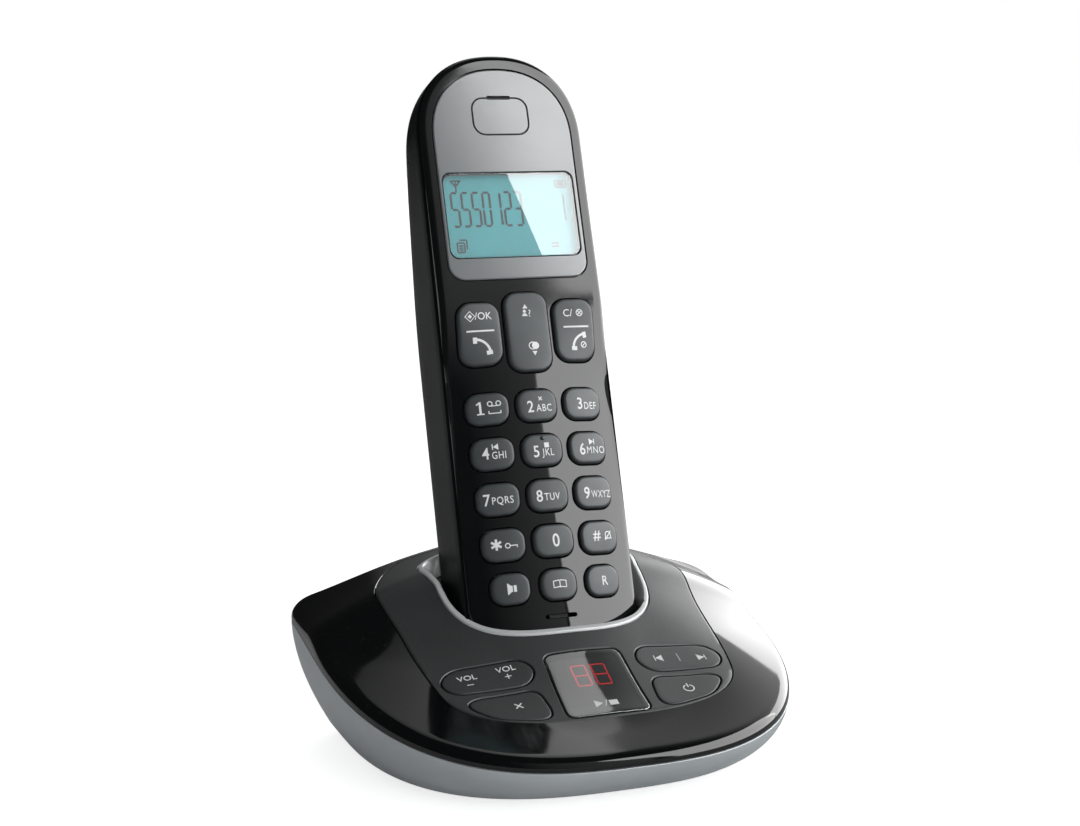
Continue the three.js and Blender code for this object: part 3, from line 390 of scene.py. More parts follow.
@dataclass
class Stack:
    """A closed skin that is built row by row from one outline."""

    loop: Loop
    lay: Lay
    spine: Callable[[Vector], Vector] | None = None
    rings: list[Ring] = field(default_factory=list)

    def row(self, inset: float, surface: Surface | float, rise: float = 0.0, share: float = 0.0) -> None:
        """Add a row.

        Args:
            inset: How far the outline is drawn inwards.
            surface: The height or depth that the row lies at, or the surface that gives it.
            rise: How far the row lies beyond that.
            share: How far the row has moved on towards the middle, or towards the spine if there is one.
        """

        def place(heading: float) -> Vector:
            """Place a heading."""
            spot = self.loop.at(heading, inset)
            spot = mix(spot, self.spine(spot) if self.spine else self.loop.middle, share)
            return self.lay(spot, (surface(spot) if callable(surface) else surface) + rise)

        self.rings.append(place)

    def fill(self, inset: float, surface: Surface | float, steps: Sequence[float]) -> None:
        """Add rows that lie on a surface, each a share of the way towards the middle."""
        for share in steps:
            self.row(inset, surface, 0.0, share)

    def wall(self, inset: float, start: Surface, end: Surface, steps: Sequence[float]) -> None:
        """Add rows that lie a share of the way from one surface to another."""
        for share in steps:
            self.row(inset, lambda spot, share=share: mix(start(spot), end(spot), share))

    def skin(self, count: int | None = None) -> Skin:
        """Make the skin, with a number of vertices in each row or, if none is given, those of the outline."""
        return closed(loft(self.loop.even(count) if count else self.loop.headings, self.rings))


def prism(points: Sequence[Vector], lay: Lay, near: Surface | float, far: Surface | float) -> Skin:
    """Make a solid between two copies of an outline.

    Args:
        points: The outline.
        lay: Places a spot at a height or depth.
        near: Where the one end lies.
        far: Where the other end lies.

    Returns:
        The closed skin.
    """
    stack = Stack(Loop(points), lay)
    stack.row(0.0, near)
    stack.row(0.0, far)
    return stack.skin()


def turned(profile: Sequence[tuple[float, float]], sides: int, middle: Sequence[float]) -> Skin:
    """Spin a half section about an upright axis.

    Args:
        profile: Radius and height of each point of the section.
        sides: Number of steps round it.
        middle: Where the axis stands and height 0 lies.

    Returns:
        The closed skin.
    """
    skin = bmesh.new()
    verts = [skin.verts.new((radius, 0.0, height)) for radius, height in profile]
    for start, end in pairwise(verts):
        skin.edges.new((start, end))
    parts = skin.verts[:] + skin.edges[:]
    bmesh.ops.spin(
        skin, geom=parts, angle=math.tau, steps=sides, axis=(0, 0, 1), cent=(0, 0, 0), use_merge=True
    )
    bmesh.ops.translate(skin, verts=skin.verts, vec=middle)
    return closed(skin)


def blocked(low: Sequence[float], high: Sequence[float], ease: float = 0.0) -> Skin:
    """Make a block.

    Args:
        low: Its lowest corner.
        high: Its highest corner.
        ease: How much its edges are rounded.

    Returns:
        The closed skin.
    """
    near, far = Vector(low), Vector(high)
    skin = bmesh.new()
    bmesh.ops.create_cube(skin, size=1.0)
    bmesh.ops.scale(skin, verts=skin.verts, vec=far - near)
    bmesh.ops.translate(skin, verts=skin.verts, vec=(near + far) / 2)
    if ease:
        edges = skin.edges[:]
        bmesh.ops.bevel(skin, geom=edges, offset=ease, affect="EDGES", segments=3, profile=0.5, material=-1)
    return skin


def gathered(skins: Iterable[Skin]) -> Skin:
    """Put skins together in one, without joining their surfaces.

    Args:
        skins: The skins, which are used up.

    Returns:
        The skin that holds them all.
    """
    whole = bmesh.new()
    for skin in skins:
        carrier = bpy.data.meshes.new("carrier")
        skin.to_mesh(carrier)
        skin.free()
        whole.from_mesh(carrier)
        bpy.data.meshes.remove(carrier)
    return whole


def loose_object(skin: Skin, name: str) -> bpy.types.Object:
    """Make a scene object that holds a skin as it is.

    Args:
        skin: The skin, which is used up.
        name: The object's name.

    Returns:
        The object.
    """
    data = bpy.data.meshes.new(name)
    skin.to_mesh(data)
    skin.free()
    thing = bpy.data.objects.new(name, data)
    bpy.context.scene.collection.objects.link(thing)
    return thing


def cut(skin: Skin, tools: Sequence[Skin]) -> Skin:
    """Cut solids out of a skin.

    Args:
        skin: The solid that is cut.
        tools: Solids that don't overlap each other.

    Returns:
        The new skin.
    """
    body = loose_object(skin, "body")
    tool = loose_object(gathered(tools), "tool")
    change = body.modifiers.new("cut", "BOOLEAN")
    change.operation = "DIFFERENCE"
    change.solver = "EXACT"
    change.object = tool
    result = bmesh.new()
    result.from_object(body, bpy.context.evaluated_depsgraph_get())
    for thing in (body, tool):
        data = thing.data
        bpy.data.objects.remove(thing)
        bpy.data.meshes.remove(data)
    return result


# Finishes


class Slot(Enum):
    """The record's finish slots."""

    CASE = "case_silver"
    COVER = "cover_black"
    SATIN = "satin_black"
    PANEL = "panel_dark"
    RING = "ring_silver"
    FACE = "face_silver"
    KEY = "key_grey"
    LENS = "smoked_lens"
    COUNTER = "counter_red"
    WINDOW = "window_clear"
    LCD = "lcd_teal"
    RUBBER = "foot_rubber"
    BOARD = "circuit_green"
    GOLD = "contact_gold"
    STEEL = "steel"
    INNER = "inner_dark"
    CELL = "cell_jacket"


WHITE = (1.0, 1.0, 1.0, 1.0)


def seen_colour(code: str) -> tuple[float, float, float, float]:
    """Turn a colour as it is seen into the light that a shader works with, by the screens' curve.

    Args:
        code: The colour's red, green and blue in hexadecimal digits, such as 8a9094.

    Returns:
        The light's red, green and blue, and an opaque alpha.
    """
    seen = [int(code[place : place + 2], 16) / 255 for place in (0, 2, 4)]
    linear = [c / 12.92 if c <= 0.04045 else ((c + 0.055) / 1.055) ** 2.4 for c in seen]
    return (*linear, 1.0)


@dataclass
class Sketch:
    """A node tree that is being drawn."""

    tree: bpy.types.NodeTree

    @classmethod
    def cleared(cls, holder: bpy.types.Material | bpy.types.World) -> Sketch:
        """Start afresh on the nodes of a material or world."""
        holder.use_nodes = True
        holder.node_tree.nodes.clear()
        return cls(holder.node_tree)

    def node(
        self, kind: str, sockets: dict[int | str, object] | None = None, **settings: object
    ) -> bpy.types.Node:
        """Add a node.

        Args:
            kind: The node's type name.
            sockets: Values or other nodes' outputs for its inputs, by name or number.
            settings: Its own settings.

        Returns:
            The node.
        """
        made = self.tree.nodes.new(kind)
        for name, value in settings.items():
            setattr(made, name, value)
        for name, value in (sockets or {}).items():
            if isinstance(value, bpy.types.NodeSocket):
                self.tree.links.new(value, made.inputs[name])
            else:
                made.inputs[name].default_value = value
        return made

    def blend(self, factor: object, first: object, second: object) -> Socket:
        """Mix two colours."""
        sockets = {0: factor, 6: first, 7: second}
        return self.node("ShaderNodeMix", sockets, data_type="RGBA").outputs[2]

    def sum(self, way: str, first: object, second: object = 0.0) -> Socket:
        """Work out a number from two."""
        return self.node("ShaderNodeMath", {0: first, 1: second}, operation=way).outputs[0]

    def ranged(
        self, value: object, source: Sequence[float] = (0.0, 1.0), target: Sequence[float] = (0.0, 1.0)
    ) -> Socket:
        """Stretch a value from one range to another, held at both ends."""
        sockets = {0: value, 1: source[0], 2: source[1], 3: target[0], 4: target[1]}
        return self.node("ShaderNodeMapRange", sockets).outputs[0]

    def noise(self, place: Socket, scale: Socket, detail: float) -> Socket:
        """Draw soft noise."""
        return self.node("ShaderNodeTexNoise", {"Vector": place, "Scale": scale, "Detail": detail}).outputs[0]

    def effect(self, kind: Effect, size: float) -> Socket:
        """Place a shared effect whose features have a size in millimetres."""
        return self.node("ShaderNodeGroup", {0: size * MILLIMETRE}, node_tree=kind.group()).outputs[0]

    def straight_rays(self) -> Socket:
        """Tell the camera's rays, and those that come through the window, from all others."""
        path = self.node("ShaderNodeLightPath")
        return self.sum("MAXIMUM", path.outputs["Is Camera Ray"], path.outputs["Is Transmission Ray"])


class Effect(Enum):
    """The shader effects that several finishes share."""

    CLOUDS = "clouds"
    GRAIN = "moulded_grain"
    DUST = "settled_dust"
    BRUSHED = "brushed_lines"

    def group(self) -> bpy.types.NodeTree:
        """Find this effect's node group, or draw it once."""
        known = bpy.data.node_groups.get(self.value)
        if known:
            return known
        tree = bpy.data.node_groups.new(self.value, "ShaderNodeTree")
        size = tree.interface.new_socket("Size", in_out="INPUT", socket_type="NodeSocketFloat")
        size.default_value = 1.0
        tree.interface.new_socket("Amount", in_out="OUTPUT", socket_type="NodeSocketFloat")
        sketch = Sketch(tree)
        scale = sketch.sum("DIVIDE", 1.0, sketch.node("NodeGroupInput").outputs[0])
        sketch.node("NodeGroupOutput", {0: self.pattern(sketch, scale)})
        return tree

    def pattern(self, sketch: Sketch, scale: Socket) -> Socket:
        """Draw this effect's pattern.

        Args:
            sketch: The group's node tree.
            scale: Number of features in a metre.

        Returns:
            The output that holds the pattern.
        """
        place = sketch.node("ShaderNodeTexCoord")
        spot = place.outputs["Object"]
        if self is Effect.CLOUDS:
            # Soft patches, as in a moulded or painted surface
            return sketch.ranged(sketch.noise(spot, scale, 3.0), (0.32, 0.68))
        if self is Effect.GRAIN:
            # Fine pits and bumps of a textured mould
            cells = sketch.node("ShaderNodeTexVoronoi", {"Vector": spot, "Scale": scale})
            return sketch.sum("MULTIPLY_ADD", cells.outputs["Distance"], sketch.noise(spot, scale, 2.0))
        if self is Effect.DUST:
            # Specks that lie on what faces up
            specks = sketch.ranged(sketch.noise(spot, scale, 5.0), (0.62, 0.78))
            facing = sketch.node("ShaderNodeSeparateXYZ", {0: place.outputs["Normal"]})
            return sketch.sum("MULTIPLY", specks, sketch.ranged(facing.outputs[2], (0.2, 0.9)))
        # Fine lines that run across, as on brushed metal
        stretch = sketch.node("ShaderNodeMapping", {"Vector": spot, "Scale": (0.02, 1.0, 1.0)})
        return sketch.noise(stretch.outputs[0], scale, 4.0)


@dataclass(frozen=True)
class Coating:
    """What every finish has: a name, a slot of the record and one material."""

    name: str
    slot: Slot | None

    def material(self) -> bpy.types.Material:
        """Find this finish's material, or draw it once."""
        known = bpy.data.materials.get(self.name)
        if known:
            return known
        made = bpy.data.materials.new(self.name)
        sketch = Sketch.cleared(made)
        sketch.node("ShaderNodeOutputMaterial", {0: self.surface(sketch).outputs[0]})
        return made

    def surface(self, sketch: Sketch) -> bpy.types.Node:
        """Draw the surface, in the way of each kind of finish."""
        raise NotImplementedError


@dataclass(frozen=True)
class Finish(Coating):
    """A moulded, painted or metal surface with soft patches, a fine relief and a little dust."""

    colour: str
    cloud: str
    patch: float
    roughness: tuple[float, float]
    relief: float = 0.004
    grain: float = 0.3
    relief_kind: Effect = Effect.GRAIN
    dust: float = 0.0
    dust_colour: str = "b8b6b0"
    dust_size_share: float = 0.05
    metallic: float = 0.0
    coat: float = 0.0
    coat_roughness: float = 0.05
    ior: float = 1.5
    alpha: float = 1.0
    glow: float = 0.0

    def colours(self, sketch: Sketch, clouds: Socket) -> Socket:
        """Draw the colour: two tones in patches, under specks of dust."""
        tone = sketch.blend(clouds, seen_colour(self.colour), seen_colour(self.cloud))
        specks = sketch.effect(Effect.DUST, self.patch * self.dust_size_share)
        return sketch.blend(sketch.sum("MULTIPLY", specks, self.dust), tone, seen_colour(self.dust_colour))

    def surface(self, sketch: Sketch) -> bpy.types.Node:
        """Draw the whole surface.

        Args:
            sketch: The material's node tree.

        Returns:
            The surface's shader node.
        """
        clouds = sketch.effect(Effect.CLOUDS, self.patch)
        colour = self.colours(sketch, clouds)
        relief = sketch.effect(self.relief_kind, self.grain)
        sockets = {"Height": relief, "Distance": self.relief * MILLIMETRE, "Strength": 1.0}
        bump = sketch.node("ShaderNodeBump", sockets)
        sockets = {
            "Base Color": colour,
            "Roughness": sketch.ranged(clouds, target=self.roughness),
            "Metallic": self.metallic,
            "IOR": self.ior,
            "Alpha": self.alpha,
            "Normal": bump.outputs[0],
            "Coat Weight": self.coat,
            "Coat Roughness": self.coat_roughness,
        }
        if self.glow:
            sockets |= {"Emission Color": colour, "Emission Strength": self.glow}
        return sketch.node("ShaderNodeBsdfPrincipled", sockets)


@dataclass(frozen=True)
class BoardFinish(Finish):
    """Circuit board: green lacquer with lighter copper tracks under it."""

    track: str = "3f8a58"
    track_pitch: float = 3.2

    def colours(self, sketch: Sketch, clouds: Socket) -> Socket:
        """Draw the lacquer's colour with its tracks."""
        place = sketch.node("ShaderNodeTexCoord")
        sockets = {"Vector": place.outputs["Object"], "Scale": 1 / (self.track_pitch * MILLIMETRE)}
        cells = sketch.node("ShaderNodeTexVoronoi", sockets, feature="DISTANCE_TO_EDGE", distance="MINKOWSKI")
        lines = sketch.ranged(cells.outputs["Distance"], (0.04, 0.09), (1.0, 0.0))
        lacquer = sketch.blend(clouds, seen_colour(self.colour), seen_colour(self.cloud))
        return sketch.blend(lines, lacquer, seen_colour(self.track))


@dataclass(frozen=True)
class ClearFinish(Coating):
    """The clear window: glass-like plastic that lets lamp light through to what lies behind it."""

    tint: str
    ior: float
    smear_size: float
    smear: tuple[float, float]

    def surface(self, sketch: Sketch) -> bpy.types.Node:
        """Draw the window.

        Args:
            sketch: The material's node tree.

        Returns:
            The surface's shader node.
        """
        sockets = {
            "Base Color": seen_colour(self.tint),
            "Roughness": sketch.ranged(sketch.effect(Effect.CLOUDS, self.smear_size), target=self.smear),
            "IOR": self.ior,
            "Transmission Weight": 1.0,
        }
        glass = sketch.node("ShaderNodeBsdfPrincipled", sockets)
        clear = sketch.node("ShaderNodeBsdfTransparent", {0: seen_colour(self.tint)})
        shadow = sketch.node("ShaderNodeLightPath").outputs["Is Shadow Ray"]
        return sketch.node("ShaderNodeMixShader", {0: shadow, 1: glass.outputs[0], 2: clear.outputs[0]})


CASE_SILVER = Finish(
    "case_silver_paint", Slot.CASE, "bfc5c8", "b5bcbf", 26, (0.36, 0.44),
    relief=0.006, grain=0.25, dust=0.02, metallic=0.2, coat=0.1,
)
COVER_BLACK = Finish(
    "cover_gloss_black", Slot.COVER, "0d0f10", "0a0c0d", 30, (0.05, 0.08), relief=0.001, grain=1.6, dust=0.03
)
HANDSET_BLACK = Finish(
    "handset_gloss_black", Slot.COVER, "121415", "0f1112", 24, (0.045, 0.07),
    relief=0.0008, grain=1.6, dust=0.015,
)
SATIN_BLACK = Finish(
    "satin_black_shell", Slot.SATIN, "171b1c", "141718", 20, (0.26, 0.32),
    relief=0.006, grain=0.22, dust=0.02, ior=1.12,
)
PANEL_DARK = Finish(
    "panel_textured", Slot.PANEL, "323637", "2d3132", 18, (0.42, 0.5), relief=0.03, grain=0.42, dust=0.03
)
RING_SILVER = Finish(
    "ring_bright_silver", Slot.RING, "d9dddd", "d1d5d6", 14, (0.32, 0.4),
    relief=0.002, grain=0.4, metallic=0.1,
)
FACE_SILVER = Finish(
    "faceplate_silver", Slot.FACE, "64696c", "5e6366", 22, (0.11, 0.15),
    relief=0.003, grain=0.18, relief_kind=Effect.BRUSHED, dust=0.01, metallic=0.03, ior=1.9,
)
KEY_GREY = Finish(
    "key_soft_grey", Slot.KEY, "43484a", "3e4345", 6, (0.42, 0.5), relief=0.008, grain=0.14, dust=0.03
)
NUB_DARK = Finish("key_nub", Slot.KEY, "2c2f31", "25282a", 2, (0.3, 0.4), relief=0.002)
SMOKED_LENS = Finish(
    "smoked_lens_plastic", Slot.LENS, "303534", "2b2f2f", 9, (0.03, 0.05),
    relief=0.0004, grain=1.5, alpha=0.68, ior=2.75,
)
COUNTER_RED = Finish("counter_red_glow", Slot.COUNTER, "ff1420", "f01018", 3, (0.3, 0.4), glow=4.0)
COUNTER_BODY = Finish("counter_housing", Slot.COUNTER, "2a2c2d", "222425", 5, (0.4, 0.5), relief=0.004)
LCD_TEAL = Finish("lcd_teal_glow", Slot.LCD, "2c98a0", "279098", 9, (0.35, 0.4), relief=0.001, glow=0.16)
LCD_INK = Finish("lcd_dark_segments", Slot.LCD, "0c1618", "081214", 3, (0.4, 0.5), relief=0.001)
# Key print: its own pale colour, plus a weak emission that is painted light and makes it brighter than the
# lamps do
GLOWING_LEGEND_PRINT = Finish("legend_print_painted_glow", None, "e9ecec", "dfe3e3", 3, (0.4, 0.5), relief=0.001, grain=0.1, glow=0.12)
# Near-black matte sheet laid in the earpiece groove: painted shade, not the faceplate's own colour
GROOVE_PAINTED_SHADE = Finish("groove_painted_shade", Slot.INNER, "0c0d0e", "090a0b", 5, (0.6, 0.7))
RUBBER = Finish("foot_rubber_grey", Slot.RUBBER, "2b2c2d", "252627", 4, (0.75, 0.85), relief=0.02, dust=0.3)
CIRCUIT = BoardFinish(
    "circuit_board_green", Slot.BOARD, "1d5a36", "184e2e", 8, (0.28, 0.36), relief=0.003, coat=0.4
)
GOLD = Finish(
    "contact_gold_plate", Slot.GOLD, "d9b56a", "cda95e", 3, (0.18, 0.28), relief=0.002, metallic=1.0
)
STEEL = Finish("plated_steel", Slot.STEEL, "a4a8ab", "989da0", 4, (0.22, 0.34), relief=0.003, metallic=1.0)
INNER_DARK = Finish(
    "inner_dark_plastic", Slot.INNER, "26282a", "202224", 8, (0.5, 0.62), relief=0.01, grain=0.25
)
CELL_GREEN = Finish(
    "cell_jacket_green", Slot.CELL, "3f7d52", "38744a", 7, (0.22, 0.3), relief=0.002, coat=0.5
)
CELL_BAND = Finish("cell_jacket_band", Slot.CELL, "d8dcd6", "cdd2cb", 7, (0.22, 0.3), relief=0.002, coat=0.5)
WINDOW_CLEAR = ClearFinish("window_clear_plastic", Slot.WINDOW, "f4fbfb", 1.9, 12, (0.0, 0.01))


# Sub-assemblies


@dataclass
class SubAssembly:
    """Pieces that are modelled in one frame and mostly ride on one body."""

    place: Matrix
    body: str

    def settle(
        self,
        skin: Skin,
        name: str,
        finish: Coating,
        stands_for: Sequence[str] = (),
        body: str | None = None,
        crease: float = CREASE,
    ) -> None:
        """Turn a skin into a placed and dressed piece.

        Args:
            skin: Its closed skin, in this sub-assembly's frame.
            name: The piece's name.
            finish: Its finish.
            stands_for: CAD nodes that it replaces.
            body: The body that it rides on, if not this sub-assembly's own.
            crease: Edges that turn more than this stay sharp.
        """
        for face in skin.faces:
            face.smooth = True
        for edge in skin.edges:
            edge.smooth = edge.is_manifold and edge.calc_face_angle(0.0) < crease
        bmesh.ops.transform(skin, matrix=self.place, verts=skin.verts)
        piece = loose_object(skin, name)
        piece.data.materials.append(finish.material())
        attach(piece, body or self.body)
        if stands_for:
            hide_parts(*stands_for)
        log.info("%s: %d faces on %s", name, len(piece.data.polygons), body or self.body)


def dress_nodes(frame: dict, finish: Finish, *names: str) -> None:
    """Give CAD nodes that keep their own shape a finish.

    Args:
        frame: The loaded frame.
        finish: The finish.
        names: The nodes.
    """
    for name in names:
        node = frame["nodes"][name]
        if not node.material_slots:
            node.data.materials.append(None)
        for slot in node.material_slots:
            slot.material = finish.material()
        log.info("%s: dressed in %s", name, finish.name)


# Marks on keys


def set_down(skin: Skin, across: float, along: float, turn: float = 0.0) -> Skin:
    """Turn a flat mark and move its middle to its place.

    Args:
        skin: The mark's skin.
        across: Its place along X.
        along: Its place along Y.
        turn: Its turn in degrees.

    Returns:
        The same skin.
    """
    bmesh.ops.transform(skin, verts=skin.verts, matrix=Matrix.Rotation(math.radians(turn), 4, "Z"))
    bmesh.ops.translate(skin, verts=skin.verts, vec=(across, along, 0.0))
    return skin


@dataclass(frozen=True)
class Glyph:
    """A character or short word, placed by its middle."""

    text: str
    across: float
    along: float
    height: float
    bold: float = 0.0
    squeeze: float = 1.0
    spacing: float = 1.0
    capital_share: float = 0.72

    def skin(self, thick: float) -> Skin:
        """Make the mark's flat skin.

        Args:
            thick: How far the print stands proud.

        Returns:
            The skin, with the mark's face towards +Z.
        """
        font = bpy.data.curves.new("letters", "FONT")
        font.body = self.text
        font.size = self.height / self.capital_share
        font.space_character = self.spacing
        font.resolution_u = 3
        font.offset = self.bold
        font.extrude = thick / 2
        holder = bpy.data.objects.new("letters", font)
        bpy.context.scene.collection.objects.link(holder)
        mesh = bpy.data.meshes.new_from_object(holder.evaluated_get(bpy.context.evaluated_depsgraph_get()))
        skin = bmesh.new()
        skin.from_mesh(mesh)
        bpy.data.objects.remove(holder)
        bpy.data.curves.remove(font)
        bpy.data.meshes.remove(mesh)
        reach = [[vert.co[axis] for vert in skin.verts] for axis in range(3)]
        middle = Vector((min(line) + max(line)) / 2 for line in reach)
        bmesh.ops.translate(skin, verts=skin.verts, vec=-middle)
        bmesh.ops.scale(skin, verts=skin.verts, vec=(self.squeeze, 1.0, 1.0))
        return set_down(skin, self.across, self.along)


@dataclass(frozen=True)
class Bar:
    """A straight stroke, placed by its middle."""

    across: float
    along: float
    width: float
    height: float
    turn: float = 0.0
    longest: float = 0.9

    def skin(self, thick: float) -> Skin:
        """Make the stroke's flat skin, in short steps so that it can follow a curved key.

        Args:
            thick: How far the print stands proud.

        Returns:
            The skin.
        """
        skin = bmesh.new()
        bmesh.ops.create_cube(skin, size=1.0)
        bmesh.ops.scale(skin, verts=skin.verts, vec=(self.width, self.height, thick))
        long = [edge for edge in skin.edges if edge.calc_length() > self.longest]
        bmesh.ops.subdivide_edges(skin, edges=long, cuts=int(max(self.width, self.height) / self.longest))
        return set_down(skin, self.across, self.along, self.turn)


@dataclass(frozen=True)
class Arc:
    """A curved stroke, placed by the middle of its circle."""

    across: float
    along: float
    radius: float
    width: float
    start: float = 0.0
    sweep: float = 360.0
    steps: int = 20

    def skin(self, thick: float) -> Skin:
        """Make the curved stroke's flat skin.

        Args:
            thick: How far the print stands proud.

        Returns:
            The skin.
        """
        skin = bmesh.new()
        bmesh.ops.create_grid(skin, x_segments=1, y_segments=1, size=0.5)
        bmesh.ops.scale(skin, verts=skin.verts, vec=(self.width, thick, 1.0))
        bmesh.ops.rotate(skin, verts=skin.verts, matrix=Matrix.Rotation(math.pi / 2, 3, "X"))
        bmesh.ops.translate(skin, verts=skin.verts, vec=(self.radius, 0.0, 0.0))
        set_down(skin, 0.0, 0.0, self.start)
        parts = skin.verts[:] + skin.edges[:] + skin.faces[:]
        bmesh.ops.spin(
            skin, geom=parts, angle=math.radians(self.sweep), steps=self.steps,
            axis=(0, 0, 1), cent=(0, 0, 0), use_merge=self.sweep >= 360.0,
        )
        return closed(set_down(skin, self.across, self.along))


Mark = Glyph | Bar | Arc


def receiver(across: float, along: float, size: float, turn: float) -> list[Mark]:
    """Draw a telephone receiver: a bent grip with a cap at each end.

    Args:
        across: Where its middle lies across.
        along: Where its middle lies along.
        size: Length from cap to cap.
        turn: How far the receiver is turned.

    Returns:
        The strokes that it is made of.
    """
    radius = size * 0.75
    sweep = 82.0
    middle = Vector((across, along)) - Matrix.Rotation(math.radians(turn), 2) @ Vector((0.0, radius * 0.8))
    strokes: list[Mark] = [Arc(middle.x, middle.y, radius, size * 0.12, 90 + turn - sweep / 2, sweep, 10)]
    for side in (-1, 1):
        angle = math.radians(90 + turn + side * sweep / 2)
        spot = middle + Vector((math.cos(angle), math.sin(angle))) * radius * 0.93
        strokes.append(Bar(spot.x, spot.y, size * 0.2, size * 0.3, math.degrees(angle) - 90))
    return strokes


SEGMENTS_LIT = {
    "0": "abcdef", "1": "bc", "2": "abged", "3": "abgcd", "4": "fgbc",
    "5": "afgcd", "6": "afgedc", "7": "abc", "8": "abcdefg", "9": "abcdfg",
}
# Middle of each segment, in halves of the digit's width and height, and whether it stands upright
SEGMENT_SHARES = {
    "a": (0, 1, False), "b": (1, 0.5, True), "c": (1, -0.5, True), "d": (0, -1, False),
    "e": (-1, -0.5, True), "f": (-1, 0.5, True), "g": (0, 0, False),
}


@dataclass(frozen=True)
class SegmentDigits:
    """Digits made of straight segments, as on a display."""

    text: str
    across: float
    along: float
    width: float
    height: float
    pitch: float
    stroke: float
    break_share: float = 0.72

    def marks(self) -> list[Mark]:
        """Draw every lit segment as a stroke."""
        half, tall = self.width / 2, self.height / 2
        spare = self.stroke * self.break_share
        strokes: list[Mark] = []
        for index, digit in enumerate(self.text):
            middle = self.across + (index - (len(self.text) - 1) / 2) * self.pitch
            for letter in SEGMENTS_LIT[digit]:
                across, along, upright = SEGMENT_SHARES[letter]
                size = (self.stroke, tall - spare) if upright else (self.width - spare, self.stroke)
                strokes.append(Bar(middle + across * half, self.along + along * tall, *size))
        return strokes


def laid(marks: Iterable[Mark], thick: float, lay: Lay) -> Skin:
    """Lay flat marks on a surface.

    Args:
        marks: The marks, in their own plane.
        thick: How far the print stands proud.
        lay: Places a spot of that plane at a height above the surface.

    Returns:
        One skin that holds all the marks.
    """
    skin = gathered(mark.skin(thick) for mark in marks)
    for vert in skin.verts:
        vert.co = lay(vert.co.xy, vert.co.z + thick / 2)
    bmesh.ops.recalc_face_normals(skin, faces=skin.faces)
    return skin


# Base


